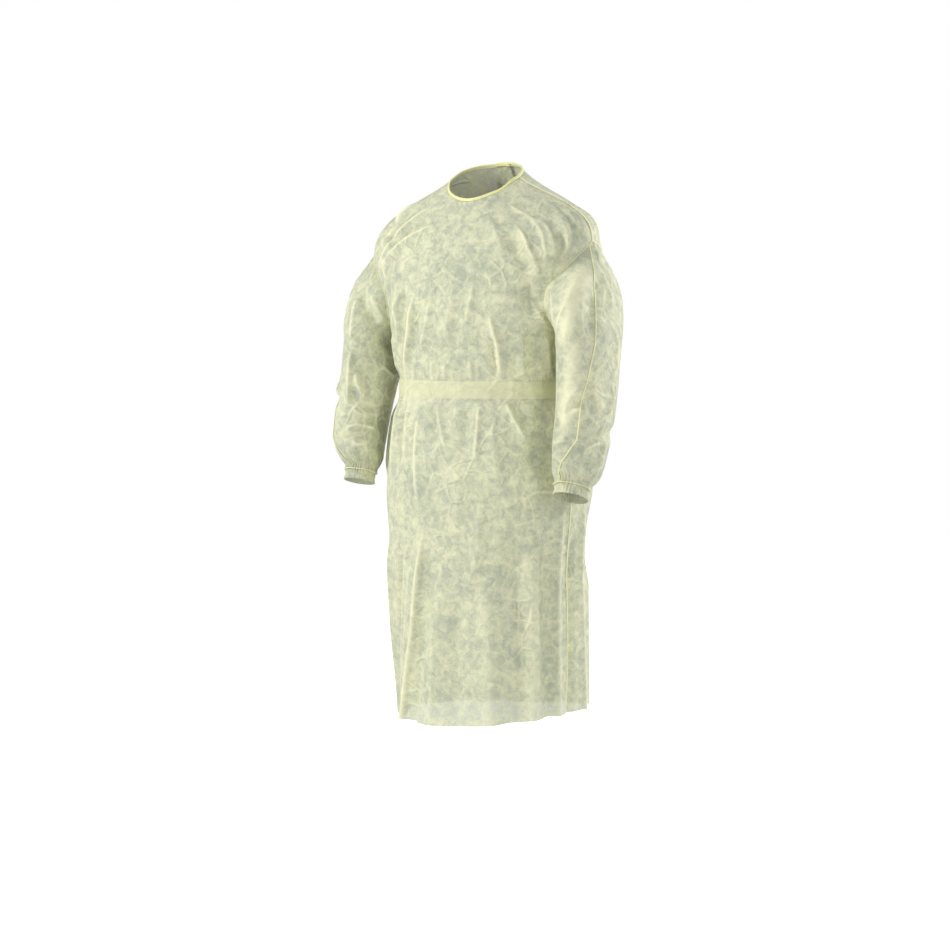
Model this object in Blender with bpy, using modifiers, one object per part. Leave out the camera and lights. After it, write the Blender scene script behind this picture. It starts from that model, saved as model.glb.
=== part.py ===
"""Isolation gown of thin nonwoven cloth, hollow, in the pose it is worn in.

Metres, +Z up. The front faces -Y and the wearer's left is +X. The origin is the middle of the neck
opening at the height of the shoulder seams' neck ends. Run with: blender --background --python part.py

The body is one smooth form that three panels share: an angle runs round it (0 at the middle of the
front, + towards the wearer's left) and a level runs down it. Levels 0 to 1 go from the neck edge over
the shoulders to the shoulder points, 1 to 2 go down the armholes, and 2 to 3 go down to the hem.
"""

import math
from collections import namedtuple

import bmesh
import bpy
from mathutils import Matrix, Vector

# Cloth
WALL = 0.0018  # panels and sleeves, which thicken inwards from the form
BINDING_WALL = 0.003
BELT_WALL = 0.0022
SEAM_GAP = 0.0003
LAY_GAP = 0.0008  # between a panel and what lies on it

# Neck opening
NECK_HALF_WIDTH = 0.086
NECK_HALF_DEPTH = 0.080
BINDING_HEIGHT = 0.0075
BINDING_GAP = 0.0009  # above the panels' neck edge, which is as thick as the wall
BINDING_UPRIGHT = 0.8  # how much more upright it stands than the cloth below it

# Heights
SHOULDER_POINT_Z = -0.146
LOOK_DOWN = 0.004  # how far below the shoulder points their slope is read
SHOULDER_TILT = 0.008  # the wearer's left shoulder is higher by twice this
ARMPIT_Z = -0.360
BELT_Z = -0.462
BELT_HEIGHT = 0.040
HEM_Z = -1.196
HEM_LIFT_LEFT = 0.014  # the hem rides a little higher on the wearer's left
HEM_SIDE_RISE = 0.012  # and a little higher at both sides than in front
HEM_TURN_Z, HEM_TURN_LENGTH = -0.7, 0.5  # where the levels start to follow the hem
SHOULDER_TURN_Z, SHOULDER_TURN_LENGTH = -0.34, 0.16  # and the shoulders

# Open back
BACK_LAP_COLUMNS = 2  # columns of each back panel past the middle
LAP_COLUMN_STEP = 6  # and how many degrees each takes
LAP_LIFT = 0.0048  # how far the upper back panel stands off the lower one
LAP_LIFT_START, LAP_LIFT_SPAN = 146, 18  # degrees over which it rises to that

# Mesh density
FRONT_COLUMNS = 24
BACK_COLUMNS = 12
SEAM_STRIP = 0.015  # a narrow column along each seam, as a share of a panel's half
SHOULDER_ROWS = 5
ARMHOLE_ROWS = 11
SLEEVE_ROOT_ROWS = 7
CUFF_COLUMNS = 48

# Rings round the body below the shoulders. front_edge and back_edge are the angles, in degrees, at
# which the front and back panels end at an armhole or a side seam.
Section = namedtuple(
    "Section", "z front_width back_width front_depth back_depth front_edge back_edge shift_x shift_y"
)
BODY_SECTIONS = [
    Section(-0.060, 0.268, 0.268, 0.112, 0.122, 90, 90, -0.006, 0),
    Section(-0.146, 0.272, 0.272, 0.134, 0.146, 90, 90, -0.008, 0),
    Section(-0.168, 0.271, 0.280, 0.142, 0.152, 75, 100, -0.007, 0),
    Section(-0.198, 0.264, 0.284, 0.149, 0.157, 63, 110, -0.005, 0),
    Section(-0.236, 0.253, 0.269, 0.157, 0.161, 55, 118, -0.002, 0),
    Section(-0.290, 0.236, 0.240, 0.165, 0.163, 58, 117, 0, 0),
    Section(-0.335, 0.224, 0.224, 0.167, 0.161, 71, 102, 0, 0),
    Section(-0.360, 0.219, 0.219, 0.166, 0.159, 84, 84, 0, 0),
    Section(-0.410, 0.208, 0.208, 0.162, 0.154, 83, 83, 0, 0),
    Section(-0.462, 0.199, 0.199, 0.156, 0.150, 82, 82, 0, 0),
    Section(-0.510, 0.213, 0.213, 0.169, 0.163, 82, 82, 0, 0),
    Section(-0.590, 0.226, 0.226, 0.181, 0.180, 81, 81, 0, 0),
    Section(-0.700, 0.232, 0.232, 0.187, 0.192, 81, 81, 0, 0),
    Section(-0.850, 0.223, 0.223, 0.183, 0.190, 80, 80, 0.001, 0.001),
    Section(-1.000, 0.219, 0.219, 0.183, 0.188, 80, 80, 0.004, 0.008),
    Section(-1.205, 0.213, 0.213, 0.185, 0.188, 80, 80, 0.010, 0.018),
]
LOWER_LEVELS_Z = [
    -0.385, -0.412, BELT_Z + BELT_HEIGHT / 2, BELT_Z, BELT_Z - BELT_HEIGHT / 2, -0.508, -0.545,
    -0.595, -0.655, -0.720, -0.790, -0.865, -0.945, -1.025, -1.105, HEM_Z,
]

# What changes round the neck and the shoulders. neck_z is the neck edge, slope the cloth's fall there
# in degrees, and point_z the height at which level 1 lies.
Collar = namedtuple("Collar", "angle neck_z slope point_z")
COLLAR = [
    Collar(0, -0.054, 58, -0.200),
    Collar(45, -0.036, 48, -0.182),
    Collar(75, -0.009, 37, -0.155),
    Collar(90, 0.000, 34, SHOULDER_POINT_Z),
    Collar(115, 0.016, 42, -0.142),
    Collar(150, 0.028, 56, -0.138),
    Collar(180, 0.031, 62, -0.136),
    Collar(210, 0.028, 56, -0.138),
]

# Rings of each sleeve from the upper arm to the wrist: centre, half width across, half depth from
# front to back, and the pitch in degrees of the forearm towards the front.
Ring = namedtuple("Ring", "z x y half_width half_depth pitch")
SLEEVE_LEFT = [
    Ring(-0.415, 0.279, -0.046, 0.058, 0.098, 2),
    Ring(-0.460, 0.281, -0.054, 0.058, 0.092, 6),
    Ring(-0.505, 0.282, -0.063, 0.057, 0.087, 12),
    Ring(-0.550, 0.281, -0.073, 0.055, 0.085, 17),
    Ring(-0.590, 0.280, -0.086, 0.053, 0.080, 20),
    Ring(-0.622, 0.280, -0.096, 0.050, 0.070, 21),
    Ring(-0.645, 0.279, -0.107, 0.044, 0.056, 21),
    Ring(-0.659, 0.279, -0.114, 0.036, 0.042, 21),
    Ring(-0.666, 0.279, -0.117, 0.036, 0.042, 21),
]
SLEEVE_RIGHT = [
    Ring(-0.415, -0.275, -0.038, 0.056, 0.092, 2),
    Ring(-0.460, -0.280, -0.044, 0.055, 0.086, 4),
    Ring(-0.505, -0.286, -0.051, 0.054, 0.081, 8),
    Ring(-0.550, -0.291, -0.058, 0.053, 0.078, 12),
    Ring(-0.585, -0.292, -0.066, 0.053, 0.074, 15),
    Ring(-0.612, -0.287, -0.073, 0.049, 0.064, 16),
    Ring(-0.632, -0.281, -0.078, 0.040, 0.048, 16),
    Ring(-0.645, -0.277, -0.081, 0.033, 0.036, 16),
    Ring(-0.652, -0.277, -0.083, 0.033, 0.036, 16),
]
SLEEVE_SIDE = {"left": (1, SLEEVE_LEFT), "right": (-1, SLEEVE_RIGHT)}

# The way a sleeve leaves the armhole at the shoulder, front, underarm and back (wearer's left)
SLEEVE_START = {
    "left": [(0.50, 0.0, -0.87), (0.80, -0.55, -0.25), (0.30, 0.0, -0.95), (0.85, 0.45, -0.28)],
    "right": [(-0.80, 0.0, -0.60), (-0.85, -0.50, -0.20), (-0.30, 0.0, -0.95), (-0.85, 0.45, -0.28)],
}

# Folds. Each runs through three places, an angle in degrees and a height, and pushes the cloth out
# (+) or in (-) by depth over about twice its width.
Fold = namedtuple("Fold", "a0 z0 a1 z1 a2 z2 width depth")
BODY_FOLDS = [
    # front, wearer's left shoulder and armhole
    Fold(50, -0.085, 50, -0.160, 49, -0.260, 0.014, -0.006),
    Fold(66, -0.070, 62, -0.150, 54, -0.230, 0.013, 0.004),
    Fold(80, -0.060, 72, -0.120, 62, -0.190, 0.012, -0.004),
    # front, wearer's right shoulder and armhole
    Fold(-66, -0.050, -76, -0.120, -58, -0.210, 0.013, -0.009),
    Fold(-34, -0.090, -48, -0.136, -58, -0.185, 0.012, -0.006),
    Fold(-56, -0.060, -62, -0.120, -52, -0.180, 0.012, 0.006),
    # chest to belt
    Fold(-27, -0.240, -31, -0.330, -36, -0.435, 0.014, 0.007),
    Fold(-43, -0.240, -52, -0.290, -62, -0.330, 0.014, -0.008),
    Fold(-50, -0.340, -52, -0.390, -54, -0.436, 0.012, 0.006),
    Fold(31, -0.350, 33, -0.400, 35, -0.436, 0.012, 0.005),
    Fold(58, -0.330, 60, -0.390, 62, -0.436, 0.014, 0.006),
    Fold(2, -0.330, 3, -0.390, 4, -0.436, 0.014, -0.004),
    # below the belt, front
    Fold(36, -0.490, 42, -0.530, 50, -0.590, 0.014, -0.007),
    Fold(-52, -0.490, -50, -0.560, -46, -0.660, 0.014, 0.007),
    Fold(-66, -0.490, -68, -0.550, -66, -0.620, 0.013, -0.007),
    Fold(64, -0.490, 66, -0.560, 66, -0.650, 0.014, 0.007),
    Fold(14, -0.490, 15, -0.540, 16, -0.610, 0.014, 0.005),
    Fold(-14, -0.490, -16, -0.550, -20, -0.630, 0.014, -0.005),
    # skirt front and sides
    Fold(-14, -0.740, -24, -0.960, -38, -1.215, 0.020, 0.011),
    Fold(-30, -0.760, -36, -0.960, -52, -1.215, 0.018, -0.010),
    Fold(10, -0.900, 6, -1.060, 2, -1.215, 0.024, -0.008),
    Fold(44, -0.800, 46, -1.000, 46, -1.215, 0.022, 0.009),
    Fold(60, -0.720, 61, -0.950, 60, -1.215, 0.018, -0.009),
    Fold(71, -0.700, 72, -0.950, 71, -1.215, 0.014, 0.008),
    Fold(-74, -0.700, -76, -0.950, -74, -1.215, 0.020, -0.009),
    Fold(-92, -0.760, -94, -0.980, -94, -1.215, 0.022, 0.010),
    Fold(98, -0.760, 100, -0.980, 102, -1.215, 0.022, -0.009),
    # back, shoulder blades to belt
    Fold(112, -0.060, 116, -0.130, 124, -0.220, 0.014, -0.007),
    Fold(128, -0.050, 132, -0.120, 136, -0.200, 0.014, 0.006),
    Fold(-112, -0.060, -118, -0.130, -126, -0.230, 0.014, -0.007),
    Fold(-130, -0.050, -134, -0.110, -136, -0.190, 0.014, 0.006),
    Fold(138, -0.260, 134, -0.350, 132, -0.436, 0.016, 0.008),
    Fold(112, -0.350, 112, -0.390, 113, -0.436, 0.013, -0.006),
    Fold(154, -0.300, 152, -0.370, 151, -0.436, 0.015, -0.006),
    Fold(-140, -0.270, -136, -0.350, -134, -0.436, 0.016, 0.008),
    Fold(-114, -0.340, -113, -0.390, -112, -0.436, 0.013, -0.006),
    # back, belt to hem
    Fold(120, -0.490, 119, -0.600, 118, -0.760, 0.016, 0.008),
    Fold(142, -0.490, 144, -0.620, 148, -0.800, 0.018, -0.008),
    Fold(-118, -0.490, -120, -0.600, -121, -0.740, 0.016, 0.008),
    Fold(-142, -0.490, -144, -0.640, -147, -0.830, 0.018, -0.008),
    Fold(124, -0.820, 128, -1.000, 132, -1.215, 0.022, 0.010),
    Fold(152, -0.880, 154, -1.040, 156, -1.215, 0.020, -0.008),
    Fold(-126, -0.780, -130, -1.000, -134, -1.215, 0.022, 0.011),
    Fold(-150, -0.900, -152, -1.050, -153, -1.215, 0.020, -0.008),
]
FRONT_FULLNESS, BACK_FULLNESS = 0.0, 0.22  # how much squarer than an ellipse the rings are
FOLD_FADE = 0.25  # the share of a fold over which it fades at an end
FOLD_RADIUS = 0.190  # turns a fold's angles into lengths on the body

# Sleeve folds: turn is the angle round the sleeve in degrees (0 outermost, 90 front, 180 next to the
# body, 270 back) and down the length from the armhole.
Crease = namedtuple("Crease", "turn0 down0 turn1 down1 turn2 down2 width depth")
SLEEVE_FOLDS = {
    "left": [
        Crease(20, 0.03, 40, 0.12, 52, 0.24, 0.020, 0.010),
        Crease(70, 0.05, 74, 0.14, 76, 0.22, 0.016, -0.009),
        Crease(4, 0.08, 2, 0.20, 0, 0.34, 0.014, -0.004),
        Crease(110, 0.10, 104, 0.16, 96, 0.20, 0.016, 0.008),
        Crease(20, 0.30, 40, 0.33, 62, 0.34, 0.014, -0.009),
        Crease(80, 0.26, 60, 0.29, 40, 0.30, 0.014, 0.008),
        Crease(30, 0.38, 50, 0.41, 70, 0.42, 0.014, -0.009),
        Crease(-64, 0.400, -26, 0.412, 6, 0.412, 0.012, -0.012),
        Crease(96, 0.36, 80, 0.39, 64, 0.39, 0.014, 0.008),
        Crease(300, 0.05, 290, 0.15, 286, 0.26, 0.018, 0.009),
        Crease(262, 0.06, 260, 0.16, 262, 0.24, 0.016, -0.008),
        Crease(240, 0.28, 262, 0.31, 290, 0.30, 0.015, -0.009),
        Crease(250, 0.37, 275, 0.40, 300, 0.39, 0.015, 0.008),
    ],
    "right": [
        Crease(16, 0.03, 30, 0.12, 40, 0.22, 0.018, 0.009),
        Crease(70, 0.04, 80, 0.12, 92, 0.20, 0.016, -0.011),
        Crease(54, 0.06, 58, 0.16, 60, 0.26, 0.016, 0.007),
        Crease(30, 0.36, 55, 0.385, 80, 0.39, 0.014, -0.010),
        Crease(20, 0.30, 36, 0.32, 60, 0.33, 0.016, 0.008),
        Crease(100, 0.30, 98, 0.35, 90, 0.40, 0.014, -0.008),
        Crease(-20, 0.40, 4, 0.42, 30, 0.42, 0.012, 0.007),
        Crease(300, 0.05, 292, 0.15, 288, 0.26, 0.018, 0.009),
        Crease(258, 0.06, 258, 0.16, 260, 0.24, 0.016, -0.008),
        Crease(240, 0.28, 262, 0.31, 290, 0.30, 0.015, -0.009),
        Crease(246, 0.37, 275, 0.395, 300, 0.39, 0.015, 0.008),
    ],
}
SLEEVE_FOLD_RADIUS = 0.075
ROOT_MIDDLE_IN, ROOT_MIDDLE_BACK = 0.015, 0.02  # of a sleeve's root, from its first ring's centre
GATHER_DEPTH = 0.0028  # of the sleeve's gathers where they enter the cuff
GATHER_LENGTH = 0.075  # how far up the sleeve they run

# Cuffs, belt ends and neck ties
CUFF_LENGTH = 0.022
CUFF_GAP = 0.0014  # the sleeve's last gathers lean this far over the seam
CUFF_GATHERS = 16
CUFF_GATHER_DEPTH = 0.0016
CUFF_FLARE = 0.0035
CUFF_ROWS = 3
CUFF_NARROWING = 0.0015  # of its upper edge, below the sleeve's end
BELT_PINCH_ANGLE = 150  # from here back, the belt narrows into its knot
BELT_PINCH_SPAN = 22
BELT_PINCH = 0.5
PINCH_LIFT = 0.0012  # the narrowed cloth stands up this much
KNOT_SIZE = (0.036, 0.022, 0.030)
KNOT_STAND_OFF = 0.0004
TAIL_STAND_OFF = 0.0010  # of a tie end's inner face from the upper back panel
TAIL_ROWS = 8

# Tie ends, which hang down the back: level and angle from the middle of the back at the top and the
# bottom, and the width
Tail = namedtuple("Tail", "top bottom top_angle bottom_angle width")
BELT_TAIL = Tail(-0.482, -0.745, 8.5, 15, 0.034)
NECK_TAIL = Tail(0.030, 0.560, 5, 13, 0.009)
NECK_KNOT_SIZE = (0.013, 0.010, 0.009)
NECK_KNOT_SINK = 0.0004  # the round knot sits this far into the leaning binding's bounds

CLOTH_COLOUR = (0.86, 0.85, 0.60, 1.0)
BINDING_COLOUR = (0.93, 0.90, 0.62, 1.0)
BELT_COLOUR = (0.89, 0.88, 0.62, 1.0)


def smooth(x):
    """0 below 0, 1 above 1, and an even turn between."""
    x = min(1.0, max(0.0, x))
    return x * x * (3 - 2 * x)


def mix(a, b, t):
    return a + (b - a) * t


def lookup(table, key, column, at):
    """Reads a table's column at a key between its rows, on a smooth curve through them."""
    rows = sorted(table, key=lambda row: getattr(row, key))
    keys = [getattr(row, key) for row in rows]
    values = [getattr(row, column) for row in rows]
    at = min(max(at, keys[0]), keys[-1])
    i = max(j for j in range(len(keys) - 1) if keys[j] <= at)

    def slope(j):
        if j in (0, len(keys) - 1):
            return 0.0
        before = (values[j] - values[j - 1]) / (keys[j] - keys[j - 1])
        after = (values[j + 1] - values[j]) / (keys[j + 1] - keys[j])
        return 0.0 if before * after <= 0 else 2 * before * after / (before + after)

    span = keys[i + 1] - keys[i]
    t = (at - keys[i]) / span
    return hermite(values[i], values[i + 1], slope(i) * span, slope(i + 1) * span, t)


def hermite(start, end, start_pull, end_pull, t):
    """A point on the cubic curve between two ends with the given pulls."""
    return (
        (2 * t**3 - 3 * t**2 + 1) * start
        + (t**3 - 2 * t**2 + t) * start_pull
        + (3 * t**2 - 2 * t**3) * end
        + (t**3 - t**2) * end_pull
    )


def body(column, z):
    return lookup(BODY_SECTIONS, "z", column, z)


def collar(column, angle):
    return lookup(COLLAR, "angle", column, abs(angle))


def fuller(value, amount):
    """A cosine made fuller on its way to 1, for a ring between an ellipse and a box."""
    return value * (1 + amount * (1 - abs(value)))


def ring_point(angle, z):
    """A point of the body form below the shoulders. The back is a little squarer than the front."""
    side, ahead = math.sin(math.radians(angle)), math.cos(math.radians(angle))
    front = ahead > 0
    width = body("front_width" if front else "back_width", z)
    depth = body("front_depth" if front else "back_depth", z)
    fullness = FRONT_FULLNESS if front else BACK_FULLNESS
    hem_lift = HEM_LIFT_LEFT * side + HEM_SIDE_RISE * side**2
    tilt = hem_lift * smooth((HEM_TURN_Z - z) / HEM_TURN_LENGTH)
    tilt += SHOULDER_TILT * side * smooth((z - SHOULDER_TURN_Z) / SHOULDER_TURN_LENGTH)
    return Vector((
        width * side + body("shift_x", z),
        -depth * fuller(ahead, fullness) + body("shift_y", z),
        z + tilt,
    ))


def neck_point(angle):
    side, ahead = math.sin(math.radians(angle)), math.cos(math.radians(angle))
    return Vector((NECK_HALF_WIDTH * side, -NECK_HALF_DEPTH * ahead, collar("neck_z", angle)))


def shoulder_point(angle, level):
    """A point of the body form between the neck edge (level 0) and the shoulder points (level 1)."""
    start, low = neck_point(angle), collar("point_z", angle)
    end = ring_point(angle, low)
    length = (end - start).length
    slope = math.radians(collar("slope", angle))
    way = Vector((math.sin(math.radians(angle)), -math.cos(math.radians(angle)), 0))
    out = way * math.cos(slope) - Vector((0, 0, math.sin(slope)))
    below = ring_point(angle, low - LOOK_DOWN)
    down = Vector((0, below.y - end.y, below.z - end.z)).normalized()
    return hermite(start, end, out * length, down * length, level)


def form_point(angle, level):
    """A point of the bare body form, before folds."""
    if level <= 1:
        return shoulder_point(angle, level)
    if level <= 2:
        return ring_point(angle, mix(collar("point_z", angle), ARMPIT_Z, level - 1))
    return ring_point(angle, mix(ARMPIT_Z, HEM_Z, level - 2))


def fold_height(folds, angle, z, radius):
    """How far the folds push the cloth out at a place on it."""
    total = 0.0
    for fold in folds:
        corners = [Vector((math.radians(fold[i]) * radius, fold[i + 1])) for i in (0, 2, 4)]
        turns = [0.0] if radius == FOLD_RADIUS else [-360.0, 0.0, 360.0]
        for turn in turns:
            here = Vector((math.radians(angle + turn) * radius, z))
            total += fold.depth * fold_share(corners, here, fold.width)
    return total


def fold_share(corners, here, width):
    """1 on a fold's line, falling to 0 about twice its width away and at its two ends."""
    best, along, done = 1e9, 0.0, 0.0
    lengths = [(b - a).length for a, b in zip(corners, corners[1:])]
    for a, b, length in zip(corners, corners[1:], lengths):
        t = min(1.0, max(0.0, (here - a).dot(b - a) / length**2))
        away = (here - a.lerp(b, t)).length
        if away < best:
            best, along = away, (done + t * length) / sum(lengths)
        done += length
    end_fade = 1.0 if corners[-1].y < HEM_Z else smooth((1 - along) / FOLD_FADE)
    return math.exp(-((best / width) ** 2)) * smooth(along / FOLD_FADE) * end_fade


def gown_point(angle, level, lift=0.0):
    """A point of the gown's outer face: the form with its folds."""
    here = form_point(angle, level)
    step, nudge = 0.5, 0.01
    across = form_point(angle + step, level) - form_point(angle - step, level)
    upward = form_point(angle, max(level - nudge, 0)) - form_point(angle, min(level + nudge, 3))
    normal = across.cross(upward).normalized()
    return here + normal * (fold_height(BODY_FOLDS, angle, here.z, FOLD_RADIUS) + lift)


def level_at(z):
    """The level of a height below the armpits."""
    return 2 + (z - ARMPIT_Z) / (HEM_Z - ARMPIT_Z)


LEVELS = (
    [i / SHOULDER_ROWS for i in range(SHOULDER_ROWS)]
    + [1 + i / ARMHOLE_ROWS for i in range(ARMHOLE_ROWS + 1)]
    + [level_at(z) for z in LOWER_LEVELS_Z]
)
SHOULDER_LEVEL = SHOULDER_ROWS
ARMPIT_LEVEL = SHOULDER_ROWS + ARMHOLE_ROWS


def edge_angle(column, level):
    """Where a panel ends at the side, in degrees. Below the armpits both panels share one seam."""
    if level <= 1:
        return 90.0
    if level < 2:
        return body(column, mix(SHOULDER_POINT_Z, ARMPIT_Z, level - 1))
    return body("front_edge", mix(ARMPIT_Z, HEM_Z, level - 2))


def front_shares():
    """The front panel's columns, from -1 at the wearer's right seam to 1 at the left one."""
    even = [2 * i / FRONT_COLUMNS - 1 for i in range(FRONT_COLUMNS + 1)]
    return sorted(even + [SEAM_STRIP - 1, 1 - SEAM_STRIP])


def back_steps():
    """A back panel's columns, from its seam to the middle of the back and past it."""
    return [0, SEAM_STRIP * BACK_COLUMNS] + list(range(1, BACK_COLUMNS + BACK_LAP_COLUMNS + 1))


def front_angle(share, level):
    return share * edge_angle("front_edge", level)


def back_angle(step, level):
    edge = edge_angle("back_edge", level)
    past = max(0, step - BACK_COLUMNS)
    return edge + (180.0 - edge) * (step - past) / BACK_COLUMNS + past * LAP_COLUMN_STEP


def lap_lift(angle):
    """How far the upper back panel stands off, near and past the middle of the back."""
    return LAP_LIFT * smooth((angle - LAP_LIFT_START) / LAP_LIFT_SPAN)


def front_point(share, row):
    level = LEVELS[row]
    return gown_point(front_angle(share, level), level)


def back_point(side, step, row):
    level = LEVELS[row]
    angle = back_angle(step, level)
    lift = lap_lift(angle) if side > 0 else 0.0
    return gown_point(side * angle, level, lift)


def cloth_material(name, colour, roughness):
    material = bpy.data.materials.new(name)
    material.use_nodes = True
    shader = material.node_tree.nodes["Principled BSDF"]
    shader.inputs["Base Color"].default_value = colour
    shader.inputs["Roughness"].default_value = roughness
    shader.inputs["Metallic"].default_value = 0.0
    material.diffuse_color = colour
    return material


def grid_object(name, across, down, place, material, wall, offset, closed=False):
    """A sheet from a grid, each corner put by place(column, row), thickened into a wall.

    Columns run round from the wearer's right to the left and rows run down, so faces look outwards.
    """
    mesh_builder = bmesh.new()
    bmesh.ops.create_grid(mesh_builder, x_segments=across, y_segments=down, size=0.5)
    for corner in mesh_builder.verts:
        column = round((corner.co.x + 0.5) * across)
        row = round((0.5 - corner.co.y) * down)
        corner.co = place(column, row)
    if closed:
        bmesh.ops.remove_doubles(mesh_builder, verts=mesh_builder.verts, dist=0.00005)
    bmesh.ops.triangulate(mesh_builder, faces=mesh_builder.faces)
    mesh = bpy.data.meshes.new(name)
    mesh_builder.to_mesh(mesh)
    mesh_builder.free()
    mesh.materials.append(material)
    piece = bpy.data.objects.new(name, mesh)
    collection.objects.link(piece)
    thicken = piece.modifiers.new("Wall", "SOLIDIFY")
    thicken.thickness = wall
    thicken.offset = offset
    return piece


def inset_towards(point, inner, amount):
    """Moves an edge point towards the panel's inside, to leave a seam's gap."""
    return point + (inner - point).normalized() * amount


def build_front():
    shares = front_shares()

    def place(column, row):
        point = front_point(shares[column], row)
        if abs(shares[column]) == 1:
            inner = front_point(shares[column] * (1 - SEAM_STRIP), row)
            point = inset_towards(point, inner, SEAM_GAP / 2)
        return point

    return grid_object("front", len(shares) - 1, len(LEVELS) - 1, place, cloth, WALL, -1)


def build_back(name, side):
    steps = back_steps() if side > 0 else back_steps()[::-1]

    def place(column, row):
        point = back_point(side, steps[column], row)
        if steps[column] == 0:
            inner = back_point(side, SEAM_STRIP * BACK_COLUMNS, row)
            point = inset_towards(point, inner, SEAM_GAP / 2)
        return point

    return grid_object(name, len(steps) - 1, len(LEVELS) - 1, place, cloth, WALL, -1)


def armhole_loop(side):
    """The panels' edge points round an armhole: down the front, then up the back."""
    front = [front_point(side, row) for row in range(SHOULDER_LEVEL, ARMPIT_LEVEL + 1)]
    back = [back_point(side, 0, row) for row in range(ARMPIT_LEVEL - 1, SHOULDER_LEVEL, -1)]
    return front + back


def loop_turns(loop):
    """Each loop point's turn round the sleeve: 0 at the shoulder, 180 at the armpit."""
    half = ARMHOLE_ROWS
    ring = loop + loop[:1]
    lengths = [(b - a).length for a, b in zip(ring, ring[1:])]
    turns = []
    for i in range(len(loop)):
        if i <= half:
            turns.append(180 * sum(lengths[:i]) / sum(lengths[:half]))
        else:
            turns.append(180 + 180 * sum(lengths[half:i]) / sum(lengths[half:]))
    return turns


def sleeve_ring_point(side, ring, turn, swell=0.0):
    """A point of a sleeve's ring. turn is in degrees from the outermost point through the front."""
    out, ahead = math.cos(math.radians(turn)), math.sin(math.radians(turn))
    flat = Vector((side * (ring.half_width + swell) * out, -(ring.half_depth + swell) * ahead, 0))
    tilt = Matrix.Rotation(-math.radians(ring.pitch), 3, "X")
    return Vector((ring.x, ring.y, ring.z)) + tilt @ flat


def sleeve_start_way(side, turn):
    """The way the sleeve leaves the armhole at a turn."""
    ways = [Vector(way) for way in SLEEVE_START["left" if side > 0 else "right"]]
    place = (turn % 360) / 90
    first = int(place) % 4
    return ways[first].lerp(ways[(first + 1) % 4], smooth(place % 1)).normalized()


def sleeve_point(side, rings, loop, turns, index, row):
    """A point of a sleeve's outer face. Rows up to SLEEVE_ROOT_ROWS leave the armhole."""
    turn = turns[index]
    start, way = loop[index], sleeve_start_way(side, turn)
    start = start + way * SEAM_GAP
    first = sleeve_ring_point(side, rings[0], turn)
    if row <= SLEEVE_ROOT_ROWS:
        length = (first - start).length
        down = (sleeve_ring_point(side, rings[1], turn) - first).normalized()
        bare = hermite(start, first, way * length, down * length, row / SLEEVE_ROOT_ROWS)
        middle = Vector((rings[0].x - side * ROOT_MIDDLE_IN, rings[0].y + ROOT_MIDDLE_BACK, bare.z))
    else:
        bare = sleeve_ring_point(side, rings[row - SLEEVE_ROOT_ROWS], turn)
        ring = rings[row - SLEEVE_ROOT_ROWS]
        middle = Vector((ring.x, ring.y, bare.z))
    down_sleeve = SHOULDER_POINT_Z - bare.z if row else 0.0
    out = bare - middle
    out.z = 0
    out.normalize()
    fade = smooth(row / 3) * smooth((len(rings) + SLEEVE_ROOT_ROWS - 2 - row) / 2)
    side_name = "left" if side > 0 else "right"
    height = fade * fold_height(SLEEVE_FOLDS[side_name], turn, down_sleeve, SLEEVE_FOLD_RADIUS)
    gather = smooth((rings[-1].z + GATHER_LENGTH - bare.z) / GATHER_LENGTH)
    height += GATHER_DEPTH * gather * (1 if index % 2 else -1)
    return bare + out * height


def build_sleeve(name, side, rings):
    loop = armhole_loop(side)
    turns = loop_turns(loop)
    around, rows = len(loop), SLEEVE_ROOT_ROWS + len(rings) - 1

    def place(column, row):
        index = column % around if side < 0 else (around - column) % around
        return sleeve_point(side, rings, loop, turns, index, row)

    return grid_object(name, around, rows, place, cloth, WALL, -1, closed=True)


def build_cuff(name, side, rings):
    last = rings[-1]
    pitch = math.radians(last.pitch)
    along = Vector((0, -math.sin(pitch), -math.cos(pitch)))

    def place(column, row):
        turn = 360 * (column % CUFF_COLUMNS) / CUFF_COLUMNS * (1 if side < 0 else -1)
        wave = math.cos(math.radians(turn * CUFF_GATHERS))
        share = row / CUFF_ROWS
        flare = CUFF_FLARE * max(0, share - 0.5)
        swell = CUFF_GATHER_DEPTH * wave * (0.5 + share) - CUFF_NARROWING + flare
        return sleeve_ring_point(side, last, turn, swell) + along * (CUFF_GAP + CUFF_LENGTH * share)

    return grid_object(name, CUFF_COLUMNS, CUFF_ROWS, place, cloth, WALL, -1, closed=True)


def angles_round(level, past):
    """The panels' column angles at a level, up to past columns beyond the middle of the back."""
    left = [back_angle(step, level) for step in back_steps() if 0 < step <= BACK_COLUMNS + past]
    middle = [front_angle(share, level) for share in front_shares()]
    return [-angle for angle in reversed(left)] + middle + left


def build_neck_binding():
    """A folded strip that stands on the neck edge, with its lower edge at the panels' rims."""
    angles = angles_round(0, BACK_LAP_COLUMNS)

    def place(column, row):
        angle = angles[column]
        lift = lap_lift(angle) if angle > 90 else 0.0
        edge = gown_point(angle, 0, lift - WALL / 2)
        below = gown_point(angle, 0.06, lift - WALL / 2)
        up = ((edge - below).normalized() + Vector((0, 0, BINDING_UPRIGHT))).normalized()
        return edge + up * (BINDING_GAP + BINDING_HEIGHT * (1 - row))

    return grid_object("neck_binding", len(angles) - 1, 1, place, binding, BINDING_WALL, 0)


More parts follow.
